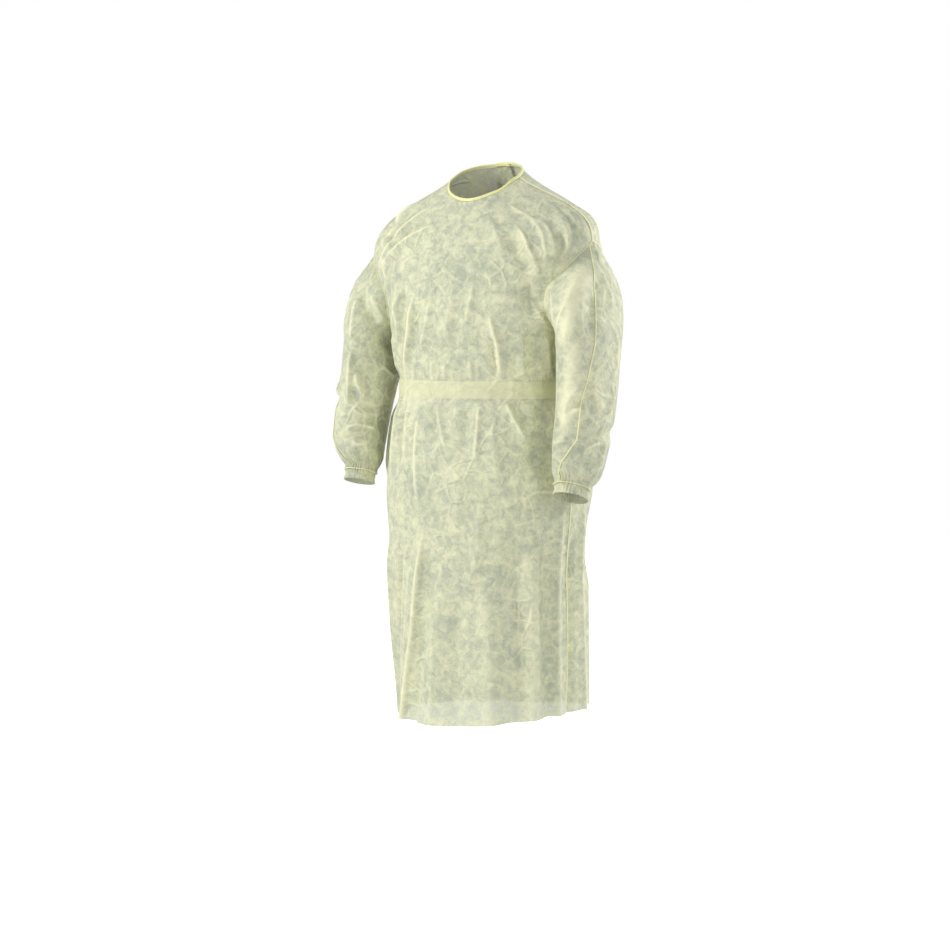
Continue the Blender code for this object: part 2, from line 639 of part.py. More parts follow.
def build_belt():
    """A doubled band from the panels' own points, moved out. It narrows into the knot."""
    angles = angles_round(level_at(BELT_Z), -1)

    def place(column, row):
        angle = angles[column]
        pinched = smooth((abs(angle) - BELT_PINCH_ANGLE) / BELT_PINCH_SPAN)
        z = BELT_Z + BELT_HEIGHT / 2 * mix(1, BELT_PINCH, pinched) * (1 - row)
        lift = lap_lift(abs(angle)) + LAY_GAP + PINCH_LIFT * pinched
        return gown_point(angle, level_at(z), lift)

    return grid_object("belt", len(angles) - 1, 2, place, belt_cloth, BELT_WALL, 1)


def build_knot(name, centre, size, material):
    knot = bmesh.new()
    bmesh.ops.create_uvsphere(knot, u_segments=12, v_segments=8, radius=0.5)
    bmesh.ops.scale(knot, vec=size, verts=knot.verts)
    bmesh.ops.translate(knot, vec=centre, verts=knot.verts)
    mesh = bpy.data.meshes.new(name)
    knot.to_mesh(mesh)
    knot.free()
    mesh.materials.append(material)
    piece = bpy.data.objects.new(name, mesh)
    collection.objects.link(piece)
    return piece


def build_tail(name, way, tail, level_of, wall, material):
    """A flat tie end that lies down the back, drifting to one side, clear of the panels."""

    def place(column, row):
        share = row / TAIL_ROWS
        level = level_of(mix(tail.top, tail.bottom, share))
        angle = 180 + way * mix(tail.top_angle, tail.bottom_angle, share)
        middle = form_point(angle, level)
        radius = math.hypot(middle.x, middle.y)
        angle += math.degrees(tail.width * (column / 2 - 0.5) / radius)
        return gown_point(angle, level, LAP_LIFT + TAIL_STAND_OFF + wall / 2)

    return grid_object(name, 2, TAIL_ROWS, place, material, wall, 0)


def build_waist_tie():
    back = gown_point(180, level_at(BELT_Z), LAP_LIFT)
    centre = back + Vector((0, KNOT_SIZE[1] / 2 + KNOT_STAND_OFF, 0))
    build_knot("belt_knot", centre, KNOT_SIZE, belt_cloth)
    for name, way in (("belt_tail_left", -1), ("belt_tail_right", 1)):
        build_tail(name, way, BELT_TAIL, level_at, BELT_WALL, belt_cloth)


def build_neck_tie():
    rim = gown_point(180, 0, LAP_LIFT - WALL / 2)
    back = rim + Vector((0, BINDING_WALL / 2, BINDING_HEIGHT / 2))
    centre = back + Vector((0, NECK_KNOT_SIZE[1] / 2 - NECK_KNOT_SINK, 0))
    build_knot("neck_knot", centre, NECK_KNOT_SIZE, binding)
    for name, way in (("neck_tail_left", -1), ("neck_tail_right", 1)):
        build_tail(name, way, NECK_TAIL, lambda level: level, WALL, binding)


def main():
    build_front()
    build_back("back_left", 1)
    build_back("back_right", -1)
    for name, (side, rings) in SLEEVE_SIDE.items():
        build_sleeve("sleeve_" + name, side, rings)
        build_cuff("cuff_" + name, side, rings)
    build_neck_binding()
    build_belt()
    build_waist_tie()
    build_neck_tie()


for old in list(bpy.data.objects):
    bpy.data.objects.remove(old, do_unlink=True)
collection = bpy.data.collections.new("isolation_gown")
bpy.context.scene.collection.children.link(collection)
cloth = cloth_material("nonwoven cloth", CLOTH_COLOUR, 0.75)
binding = cloth_material("folded binding", BINDING_COLOUR, 0.7)
belt_cloth = cloth_material("doubled belt cloth", BELT_COLOUR, 0.72)
main()
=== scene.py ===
import math

import bmesh
import bpy
import numpy as np
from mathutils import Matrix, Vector


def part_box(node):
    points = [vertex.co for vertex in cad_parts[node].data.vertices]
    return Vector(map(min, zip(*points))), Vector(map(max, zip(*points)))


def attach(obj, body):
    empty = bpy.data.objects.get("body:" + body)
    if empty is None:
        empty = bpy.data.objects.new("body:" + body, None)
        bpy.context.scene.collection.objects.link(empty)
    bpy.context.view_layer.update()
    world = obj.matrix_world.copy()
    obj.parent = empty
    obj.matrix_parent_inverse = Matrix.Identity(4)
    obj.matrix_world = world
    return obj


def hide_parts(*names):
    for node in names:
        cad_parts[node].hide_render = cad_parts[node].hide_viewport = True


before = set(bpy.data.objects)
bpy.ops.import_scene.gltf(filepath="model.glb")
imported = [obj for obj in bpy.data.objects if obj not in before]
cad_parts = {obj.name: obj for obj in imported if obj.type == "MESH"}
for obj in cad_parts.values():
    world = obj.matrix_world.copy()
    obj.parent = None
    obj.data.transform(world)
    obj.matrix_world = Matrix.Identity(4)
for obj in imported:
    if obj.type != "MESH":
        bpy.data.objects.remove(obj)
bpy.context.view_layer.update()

cameraSettings = {
    "lens": 85.0,
    "azimuth": 30.0,  # degrees from straight in front towards the wearer's left
    "elevation": 4.0,
    "distance": 5.0,
    "lookAt": (-0.0203, -0.0117, -0.656),
    "sensor": 36.0,
    "clipEnd": 60.0,
}
floorSettings = {"height": -1.56, "size": 16.0, "colour": (0.95, 0.95, 0.945, 1.0), "roughness": 0.9, "glow": 1.0}
lightSettings = {
    "backdrop": (1.0, 1.0, 1.0, 1.0),
    "ambient": (0.93, 0.97, 1.0, 1.0),
    "ambientStrength": 0.36,
    "lampsAim": (0, 0, -0.6),
    # name: place, size, power
    "lamps": {
        "keyLight": ((-3.1, -2.9, 1.7), 0.8, 150),
        "fillLight": ((3.6, -2.4, 0.9), 1.6, 56),
        "backLight": ((2.0, 3.4, 1.4), 1.6, 115),
    },
}


def addNode(tree, kind, values=None, feeds=None, **settings):
    # a shader node with its settings, the values of its sockets and the outputs that feed them
    node = tree.nodes.new("ShaderNode" + kind)
    for name, value in settings.items():
        setattr(node, name, value)
    for socket, value in (values or {}).items():
        node.inputs[socket].default_value = value
    for socket, output in (feeds or {}).items():
        tree.links.new(output, node.inputs[socket])
    return node


def placeCamera(settings):
    azimuth, elevation = math.radians(settings["azimuth"]), math.radians(settings["elevation"])
    back = Vector((
        math.sin(azimuth) * math.cos(elevation),
        -math.cos(azimuth) * math.cos(elevation),
        math.sin(elevation),
    ))
    data = bpy.data.cameras.new("photoCamera")
    data.lens = settings["lens"]
    data.sensor_width = settings["sensor"]
    data.clip_end = settings["clipEnd"]
    camera = bpy.data.objects.new("photoCamera", data)
    bpy.context.collection.objects.link(camera)
    camera.location = Vector(settings["lookAt"]) + back * settings["distance"]
    camera.rotation_euler = back.to_track_quat("Z", "Y").to_euler()
    bpy.context.scene.camera = camera


def lightScene(settings):
    world = bpy.data.worlds.new("softWorld")
    bpy.context.scene.world = world
    world.use_nodes = True
    tree = world.node_tree
    ambient = tree.nodes["Background"]
    ambient.inputs["Color"].default_value = settings["ambient"]
    ambient.inputs["Strength"].default_value = settings["ambientStrength"]
    # the camera sees a white backdrop, and the cloth is lit by a softer one
    backdrop = addNode(tree, "Background", {"Color": settings["backdrop"]})
    rays = addNode(tree, "LightPath")
    mixed = addNode(tree, "MixShader", {}, {
        0: rays.outputs["Is Camera Ray"], 1: ambient.outputs["Background"], 2: backdrop.outputs["Background"]})
    tree.links.new(mixed.outputs["Shader"], tree.nodes["World Output"].inputs["Surface"])
    for name, (place, size, power) in settings["lamps"].items():
        lamp = bpy.data.lights.new(name, "AREA")
        lamp.size = size
        lamp.energy = power
        lampObject = bpy.data.objects.new(name, lamp)
        bpy.context.collection.objects.link(lampObject)
        lampObject.location = place
        aim = Vector(place) - Vector(settings["lampsAim"])
        lampObject.rotation_euler = aim.to_track_quat("Z", "Y").to_euler()


def layFloor(settings):
    mesh = bpy.data.meshes.new("studioFloor")
    sheet = bmesh.new()
    bmesh.ops.create_grid(sheet, x_segments=1, y_segments=1, size=settings["size"] / 2)
    bmesh.ops.translate(sheet, vec=(0, 0, settings["height"]), verts=sheet.verts)
    sheet.to_mesh(mesh)
    sheet.free()
    floor = bpy.data.objects.new("studioFloor", mesh)
    bpy.context.collection.objects.link(floor)
    material = bpy.data.materials.new("paleFloor")
    material.use_nodes = True
    tree = material.node_tree
    shader = tree.nodes["Principled BSDF"]
    shader.inputs["Base Color"].default_value = settings["colour"]
    shader.inputs["Roughness"].default_value = settings["roughness"]
    shader.inputs["Emission Color"].default_value = settings["colour"]
    # the camera sees it as white as the backdrop, and it throws no light of its own on the cloth
    glow = addNode(tree, "Math", {1: settings["glow"]}, {0: addNode(tree, "LightPath").outputs["Is Camera Ray"]},
                   operation="MULTIPLY")
    tree.links.new(glow.outputs["Value"], shader.inputs["Emission Strength"])
    mesh.materials.append(material)


placeCamera(cameraSettings)
lightScene(lightSettings)
layFloor(floorSettings)
bpy.context.scene.view_settings.view_transform = "Standard"
print("stage: camera, light and floor")

# The gown's form, in metres: rings down the body, the neck edge, and the heights of the parts.
formSettings = {
    "neckHalfWidth": 0.086,
    "neckHalfDepth": 0.080,
    "shoulderPointZ": -0.146,
    "armpitZ": -0.360,
    "hemZ": -1.196,
    "shoulderTilt": 0.008,
    "hemLiftLeft": 0.014,
    "hemSideRise": 0.012,
    "hemRiseFrom": -0.7,  # height where the hem's rise and the shoulders' tilt set in, and over how much
    "hemRiseOver": 0.5,
    "tiltFrom": -0.34,
    "tiltOver": 0.16,
    "backFullness": 0.22,
    "lap": 12.0,  # degrees that each back panel runs past the middle
    "lapLift": 0.0048,
    "lapFrom": 146,
    "lapOver": 18,
    "foldRadius": 0.190,
}
# height, front and back half width, front and back depth, front and back edge angle, shift in x and y
ringColumns = ("z", "frontWidth", "backWidth", "frontDepth", "backDepth", "frontEdge", "backEdge",
               "shiftX", "shiftY")
bodyRings = [
    (-0.060, 0.268, 0.268, 0.112, 0.122, 90, 90, -0.006, 0),
    (-0.146, 0.272, 0.272, 0.134, 0.146, 90, 90, -0.008, 0),
    (-0.168, 0.271, 0.280, 0.142, 0.152, 75, 100, -0.007, 0),
    (-0.198, 0.264, 0.284, 0.149, 0.157, 63, 110, -0.005, 0),
    (-0.236, 0.253, 0.269, 0.157, 0.161, 55, 118, -0.002, 0),
    (-0.290, 0.236, 0.240, 0.165, 0.163, 58, 117, 0, 0),
    (-0.335, 0.224, 0.224, 0.167, 0.161, 71, 102, 0, 0),
    (-0.360, 0.219, 0.219, 0.166, 0.159, 84, 84, 0, 0),
    (-0.410, 0.208, 0.208, 0.162, 0.154, 83, 83, 0, 0),
    (-0.462, 0.199, 0.199, 0.156, 0.150, 82, 82, 0, 0),
    (-0.510, 0.213, 0.213, 0.169, 0.163, 82, 82, 0, 0),
    (-0.590, 0.226, 0.226, 0.181, 0.180, 81, 81, 0, 0),
    (-0.700, 0.232, 0.232, 0.187, 0.192, 81, 81, 0, 0),
    (-0.850, 0.223, 0.223, 0.183, 0.190, 80, 80, 0.001, 0.001),
    (-1.000, 0.219, 0.219, 0.183, 0.188, 80, 80, 0.004, 0.008),
    (-1.205, 0.213, 0.213, 0.185, 0.188, 80, 80, 0.010, 0.018),
]
# angle from the middle of the front, neck edge height, slope of the cloth there, height of the yoke's end
collarColumns = ("angle", "neckZ", "slope", "pointZ")
collarRings = [
    (0, -0.054, 58, -0.200),
    (45, -0.036, 48, -0.182),
    (75, -0.009, 37, -0.155),
    (90, 0.000, 34, -0.146),
    (115, 0.016, 42, -0.142),
    (150, 0.028, 56, -0.138),
    (180, 0.031, 62, -0.136),
    (210, 0.028, 56, -0.138),
]


def easeStep(x):
    x = np.clip(x, 0.0, 1.0)
    return x * x * (3 - 2 * x)


def hermite(start, end, startPull, endPull, t):
    return ((2 * t**3 - 3 * t**2 + 1) * start + (t**3 - 2 * t**2 + t) * startPull
            + (3 * t**2 - 2 * t**3) * end + (t**3 - t**2) * endPull)


def readTable(table, columns, name, at):
    # a smooth curve through one column of a table, read at many places at once
    rows = np.array(sorted(table), dtype=float)
    keys, values = rows[:, 0], rows[:, columns.index(name)]
    steps, rises = np.diff(keys), np.diff(values)
    grade = rises / steps
    slopes = np.zeros(len(keys))
    before, after = grade[:-1], grade[1:]
    same = before * after > 0
    slopes[1:-1][same] = (2 * before * after)[same] / (before + after)[same]
    at = np.clip(np.asarray(at, dtype=float), keys[0], keys[-1])
    i = np.clip(np.searchsorted(keys, at, side="right") - 1, 0, len(keys) - 2)
    span = steps[i]
    return hermite(values[i], values[i + 1], slopes[i] * span, slopes[i + 1] * span, (at - keys[i]) / span)


def ringAt(name, z):
    return readTable(bodyRings, ringColumns, name, z)


def collarAt(name, angle):
    return readTable(collarRings, collarColumns, name, np.abs(angle))


def ringPoint(angle, z):
    s = formSettings
    side, ahead = np.sin(np.radians(angle)), np.cos(np.radians(angle))
    front = ahead > 0
    width = np.where(front, ringAt("frontWidth", z), ringAt("backWidth", z))
    depth = np.where(front, ringAt("frontDepth", z), ringAt("backDepth", z))
    fullness = np.where(front, 0.0, s["backFullness"])
    lift = s["hemLiftLeft"] * side + s["hemSideRise"] * side**2
    lift = lift * easeStep((s["hemRiseFrom"] - z) / s["hemRiseOver"])
    lift = lift + s["shoulderTilt"] * side * easeStep((z - s["tiltFrom"]) / s["tiltOver"])
    return np.stack([
        width * side + ringAt("shiftX", z),
        -depth * ahead * (1 + fullness * (1 - np.abs(ahead))) + ringAt("shiftY", z),
        z + lift,
    ], axis=-1)


def unit(v):
    return v / np.maximum(np.linalg.norm(v, axis=-1, keepdims=True), 1e-12)


def yokePoint(angle, level):
    # from the neck edge (level 0) over the shoulders to the yoke's end (level 1)
    s = formSettings
    side, ahead = np.sin(np.radians(angle)), np.cos(np.radians(angle))
    start = np.stack([s["neckHalfWidth"] * side, -s["neckHalfDepth"] * ahead, collarAt("neckZ", angle)], axis=-1)
    low = collarAt("pointZ", angle)
    end, below = ringPoint(angle, low), ringPoint(angle, low - 0.004)
    length = np.linalg.norm(end - start, axis=-1, keepdims=True)
    slope = np.radians(collarAt("slope", angle))
    out = np.stack([side * np.cos(slope), -ahead * np.cos(slope), -np.sin(slope)], axis=-1)
    down = below - end
    down[..., 0] = 0
    return hermite(start, end, out * length, unit(down) * length, level[..., None])


def formPoint(angle, level):
    s = formSettings
    z = np.where(
        level <= 2,
        collarAt("pointZ", angle) + (s["armpitZ"] - collarAt("pointZ", angle)) * (level - 1),
        s["armpitZ"] + (s["hemZ"] - s["armpitZ"]) * (level - 2),
    )
    return np.where((level <= 1)[..., None], yokePoint(angle, np.clip(level, 0, 1)), ringPoint(angle, z))


def levelAt(z):
    s = formSettings
    return 2 + (z - s["armpitZ"]) / (s["hemZ"] - s["armpitZ"])


# Each fold runs through three places and pushes the cloth out (or in, below 0) over about twice its width.
# Columns: angle and height of the three places, width, depth, lean (one side is steeper), and line (how strong the
# painted highlight along its ridge is, which also sharpens the crest). Lengths in this table and in the sleeves' are
# in millimetres.
foldTable = [
    # front, wearer's left shoulder to the armhole
    (41, -98, 40.5, -160, 50.5, -232, 8, 5.5, 0.3, 0.9),
    (36, -112, 35.5, -168, 45, -238, 11, -5.5, 0, 0),
    (54, -80, 49.5, -150, 51, -232, 6, 3, 0, 0.7),
    (57, -88, 55, -150, 54, -228, 8, 5, 0, 0.5),
    (61, -108, 60, -160, 58, -205, 12, -7, 0, 0),
    (68, -75, 65, -130, 61, -190, 9, 4.5, 0, 0.4),
    (79, -55, 74, -105, 66, -165, 10, -4.5, 0, 0),
    (49, -58, 52, -80, 55, -105, 6, 2, 0, 0.4),
    (28, -85, 26, -130, 27, -185, 14, 3.5, 0, 0.2),
    # front, wearer's right shoulder to the armhole
    (-80, -40, -70, -76, -53, -158, 8, 7, 0, 0.9),
    (-70, -83, -64, -106, -57, -134, 7, -10, 0, 0),
    (-49, -56, -50, -94, -48.5, -138, 8, 6.5, 0, 0.9),
    (-48.5, -128, -48.5, -165, -49, -212, 8, 6, 0, 0.8),
    (-57, -72, -56, -110, -52, -152, 8, -7, 0, 0),
    (-22, -98, -36, -133, -46, -180, 8, 6, 0, 0.8),
    (-44, -166, -46.5, -195, -47, -232, 8, 4.5, 0, 0.6),
    (-38, -92, -41.5, -123, -45, -160, 10, -7, 0, 0),
    (-18, -120, -30, -155, -42, -205, 12, -5, 0, 0),
    # chest to belt
    (-22, -248, -30, -345, -43, -442, 9, 7, 0.2, 0.9),
    (-18, -270, -25, -350, -37, -438, 12, -5, 0, 0),
    (-33, -243, -42, -292, -54, -332, 8, 4.5, 0, 0.6),
    (-34, -213, -39.5, -270, -46, -362, 9, 4.5, 0, 0.5),
    (-28, -230, -34, -290, -42, -382, 12, -6, 0, 0),
    (-52, -330, -56, -385, -58, -440, 10, 5.5, 0, 0.5),
    (-64, -345, -68, -390, -72, -438, 11, -6, 0, 0),
    (13.5, -218, 12.5, -270, 10.5, -332, 9, 3.5, 0, 0.45),
    (2, -238, 0.5, -295, -2, -362, 10, 3.2, 0, 0.3),
    (-11, -260, -14.5, -322, -21, -388, 10, 4, 0, 0.35),
    (-4, -195, -6, -240, -8, -292, 12, -3, 0, 0),
    (7, -300, 5, -350, 3, -410, 12, -3.5, 0, 0),
    (23, -288, 30, -365, 34.5, -447, 7, 5.5, 0.2, 0.9),
    (26.5, -345, 29.5, -395, 31.5, -438, 7, -5.5, 0, 0),
    (-12, -398, -12.5, -425, -13, -447, 6, 3.5, 0, 0.4),
    (-3, -405, -3, -428, -4, -447, 6, 3, 0, 0.3),
    (14, -392, 14.5, -420, 15, -447, 6, 3.5, 0, 0.4),
    (44, -330, 46, -380, 48, -440, 10, 4.5, 0, 0.3),
    # under the wearer's left arm
    (38, -225, 45, -262, 56, -300, 13, -11, 0, 0),
    (44, -258, 52, -292, 61, -330, 10, 5.5, 0, 0.4),
    (50, -325, 53, -385, 56, -442, 11, -7, 0, 0),
    (58, -320, 64, -380, 69, -442, 10, 6.5, 0, 0.4),
    (68, -345, 72, -390, 77, -440, 10, -6, 0, 0),
    # below the belt
    (36, -482, 41, -522, 48.5, -575, 7, 5.5, 0, 0.9),
    (41, -484, 47, -520, 55, -562, 10, -7, 0, 0),
    (-8, -484, -3.5, -538, 2, -605, 8, 4.5, 0, 0.5),
    (-13, -484, -9, -530, -5, -585, 10, -4.5, 0, 0),
    (20, -484, 19.5, -545, 18, -625, 8, 4.5, 0, 0.7),
    (14, -484, 13, -540, 11, -610, 12, -4, 0, 0),
    (-34, -484, -31, -552, -28, -645, 9, 4.5, 0, 0.6),
    (-40, -484, -38, -550, -36, -645, 11, -6, 0, 0),
    (-50, -484, -46, -555, -44.5, -665, 10, 6.5, 0, 0.6),
    (62, -482, 57, -550, 50, -645, 12, -7, 0, 0),
    (69, -484, 67, -560, 63, -655, 11, 6.5, 0, 0.4),
    (-21, -500, -20.5, -600, -17, -725, 7, 4, 0, 0.8),
    (-64, -484, -61, -560, -59, -665, 12, -8, 0, 0),
    (-76, -484, -75, -570, -72, -680, 12, 7, 0, 0.4),
    (28, -520, 29, -600, 31, -690, 12, 3.5, 0, 0.2),
    (6, -600, 9, -680, 8, -770, 14, 3.5, 0, 0.15),
    # skirt, front and sides
    (-12, -740, -26, -1000, -47, -1215, 10, 8.5, 0.4, 1),
    (-21, -785, -33, -1000, -50, -1215, 14, 6, 0, 0.35),
    (-26, -755, -37, -975, -54, -1215, 9, 4.5, 0, 0.5),
    (-5, -765, -18, -1000, -37, -1215, 16, -8, 0, 0),
    (-34, -800, -45, -1000, -61, -1215, 14, -10, 0, 0),
    (-52, -755, -60, -960, -69, -1215, 14, 9, 0, 0.4),
    (21, -690, 20, -800, 14, -905, 14, 4.5, 0, 0.25),
    (8, -880, 5, -1060, 2, -1215, 22, -7.5, 0, 0),
    (-8, -930, -12, -1080, -17, -1215, 16, 5, 0, 0.25),
    (24, -850, 26, -1040, 24, -1215, 20, 7, 0, 0.2),
    (40, -715, 40, -950, 36, -1215, 18, -7, 0, 0),
    (52, -755, 53, -980, 52, -1215, 18, 7.5, 0, 0.3),
    (62, -700, 63, -930, 62, -1215, 16, -9, 0, 0),
    (74, -700, 71, -960, 69.5, -1215, 9, 7, 0, 0.6),
    (86, -740, 85, -980, 80, -1215, 10, -8, 0, 0),
    (96, -640, 97, -920, 98, -1215, 12, 8, 0, 0.7),
    (108, -700, 109, -950, 111, -1215, 16, -9, 0, 0),
    (-76, -700, -79, -950, -82, -1215, 18, -9.5, 0, 0),
    (-92, -755, -94, -980, -97, -1215, 14, 10, 0, 0.6),
    (-106, -720, -109, -960, -112, -1215, 16, -8, 0, 0),
    # back, shoulders to belt
    (112, -50, 116, -130, 124, -225, 11, -8, 0, 0),
    (104, -60, 107, -110, 114, -180, 8, 5, 0, 0.7),
    (128, -40, 132, -120, 138, -215, 10, 6, 0.3, 0.7),
    (142, -60, 146, -140, 150, -240, 14, -5, 0, 0),
    (-112, -50, -118, -130, -127, -235, 11, -8, 0, 0),
    (-103, -58, -108, -110, -115, -180, 8, 5, 0, 0.7),
    (-130, -40, -134, -110, -138, -200, 10, 6.5, 0, 0.6),
    (-146, -70, -149, -150, -150, -240, 14, -5, 0, 0),
    (140, -250, 135, -350, 132, -442, 10, 8, 0.2, 0.8),
    (126, -270, 124, -355, 123, -440, 13, -7, 0, 0),
    (112, -340, 112, -390, 113, -442, 10, 5.5, 0, 0.4),
    (154, -290, 152, -370, 151, -440, 12, -7, 0, 0),
    (162, -330, 161, -390, 160, -445, 8, 4.5, 0, 0.5),
    (170, -380, 169, -415, 168, -446, 6, -4, 0, 0),
    (-141, -260, -137, -350, -134, -442, 10, 8, 0.2, 0.8),
    (-127, -280, -125, -360, -124, -440, 13, -7, 0, 0),
    (-114, -330, -113, -390, -112, -440, 10, 5.5, 0, 0.4),
    (-152, -330, -151, -390, -150, -445, 8, -5, 0, 0),
    (100, -250, 98, -320, 96, -400, 12, 5, 0, 0.3),
    (-98, -260, -96, -330, -95, -410, 12, 5, 0, 0.3),
    # back, belt to hem
    (120, -484, 119, -600, 118, -765, 10, 8.5, 0.2, 0.7),
    (108, -484, 107, -570, 106, -680, 12, -7, 0, 0),
    (132, -484, 133, -580, 134, -700, 12, -7, 0, 0),
    (143, -484, 145, -620, 149, -800, 11, 7.5, 0, 0.5),
    (156, -484, 158, -580, 160, -720, 12, -6.5, 0, 0),
    (-118, -484, -120, -600, -121, -745, 10, 8.5, 0, 0.6),
    (-131, -484, -133, -600, -135, -760, 13, -8, 0, 0),
    (-143, -484, -145, -640, -148, -835, 11, 8, 0.3, 0.7),
    (-156, -484, -158, -580, -160, -700, 12, -6, 0, 0),
    (124, -815, 128, -1000, 132, -1215, 14, 10.5, 0.3, 0.7),
    (139, -830, 142, -1010, 145, -1215, 16, -9, 0, 0),
    (153, -870, 155, -1040, 157, -1215, 14, 8, 0, 0.5),
    (-126, -775, -130, -1000, -134, -1215, 14, 11, 0.3, 0.8),
    (-141, -850, -144, -1020, -146, -1215, 16, -9, 0, 0),
    (-155, -900, -157, -1050, -158, -1215, 14, 7, 0, 0.5),
]
# the painted highlight covers broad folds over their whole width and narrow ones on a thin line along the crest
lineSettings = {"width": 0.0030, "broadFrom": 0.018, "broadShare": 0.8, "foldDepth": 1.35, "crisp": 0.45}


def foldHeight(folds, turn, run, radius, hemRun=None, wraps=False):
    # how far the folds push the cloth out at many places, each an angle and a length along, and how
    # strong the painted highlight on their ridges is there
    here = np.stack([np.radians(turn) * radius, run], axis=-1)
    total, highlightShare = np.zeros(turn.shape), np.zeros(turn.shape)
    for a0, r0, a1, r1, a2, r2, width, depth, lean, line in folds:
        corners = [np.array([math.radians(a) * radius, r / 1000]) for a, r in ((a0, r0), (a1, r1), (a2, r2))]
        width, depth = width / 1000, depth / 1000
        spans = [np.linalg.norm(b - a) for a, b in zip(corners, corners[1:])]
        for shift in ((-2 * math.pi * radius, 0, 2 * math.pi * radius) if wraps else (0,)):
            best = np.full(turn.shape, 1e9)
            along, side = np.zeros(turn.shape), np.zeros(turn.shape)
            done = 0.0
            for a, b, span in zip(corners, corners[1:], spans):
                rel = here + np.array([shift, 0]) - a
                way = (b - a) / span
                t = np.clip(rel @ way, 0, span)
                off = rel - t[..., None] * way
                away = np.linalg.norm(off, axis=-1)
                nearer = away < best
                best = np.where(nearer, away, best)
                along = np.where(nearer, (done + t) / sum(spans), along)
                side = np.where(nearer, np.sign(rel[..., 0] * way[1] - rel[..., 1] * way[0]), side)
                done += span
            toHem = hemRun is not None and corners[-1][1] < hemRun
            fade = easeStep(along / 0.25) * (1.0 if toHem else easeStep((1 - along) / 0.3))
            spread = width * (1 + lean * side)
            profile = np.exp(-((best / spread) ** 2))
            if line:  # a ridge with a highlight line has a sharp crest
                profile += line * lineSettings["crisp"] * (np.exp(-1.6 * best / spread) - profile)
            total += lineSettings["foldDepth"] * depth * profile * fade
            # a painted highlight along the crest
            if line:
                broad = width >= lineSettings["broadFrom"]
                lineWidth = width * lineSettings["broadShare"] if broad else lineSettings["width"]
                highlightShare = np.maximum(highlightShare, line * np.exp(-((best / lineWidth) ** 2)) * fade)
    return total, highlightShare


def bodyNormal(angle, level):
    across = formPoint(angle + 0.5, level) - formPoint(angle - 0.5, level)
    upward = formPoint(angle, np.maximum(level - 0.01, 0)) - formPoint(angle, np.minimum(level + 0.01, 3))
    return unit(np.cross(across, upward))


def gownGrid(angle, level, lift=0.0):
    # places on the folded cloth, and how strong the painted highlight on the ridges of its folds is there
    here = formPoint(angle, level)
    height, lines = foldHeight(foldTable, angle, here[..., 2], formSettings["foldRadius"], formSettings["hemZ"])
    return here + bodyNormal(angle, level) * (height + lift)[..., None], lines


def gownPoint(angle, level, lift=0.0):
    return gownGrid(angle, level, lift)[0]


clothSettings = {
    "line": (0.95, 0.92, 0.62, 1.0),  # painted highlight on the ridges of folds and small creases
    "roughness": 0.75,
    "sheen": 0.2,
    "scales": {"Cloud Scale": 62.0, "Fibre Scale": 300.0, "Crease Scale": 21.0},
    "smallCreaseHighlight": 0.42,
    "linesOpaque": 0.8,
    "fibreBump": (0.5, 0.0011),  # strength and distance
    "creaseBump": (0.8, 0.0030),
}
# name: colours of thin, middle and thick places, alpha of thin and thick ones, how far small creases show; the
# cloth's dark grey-green thin colour is painted shade of the gown's shaded inside seen through thin places, over the
# real thin and thick mottling
clothLooks = {
    # the dark grey-green thin colour here is painted shade of the shaded inside seen through the cloth
    "nonwovenCloth": (((0.46, 0.50, 0.37), (0.66, 0.67, 0.46), (0.82, 0.81, 0.53)), (0.90, 0.99), 1.0),
    "doubledBelt": (((0.62, 0.62, 0.40), (0.71, 0.71, 0.45), (0.80, 0.79, 0.50)), (1, 1), 0.5),
    "weldedSeam": (((0.84, 0.82, 0.48), (0.90, 0.88, 0.52), (0.95, 0.93, 0.57)), (1, 1), 0.0),
    "neckBindingCloth": (((0.84, 0.81, 0.38), (0.90, 0.87, 0.42), (0.94, 0.91, 0.48)), (1, 1), 0.0),
}


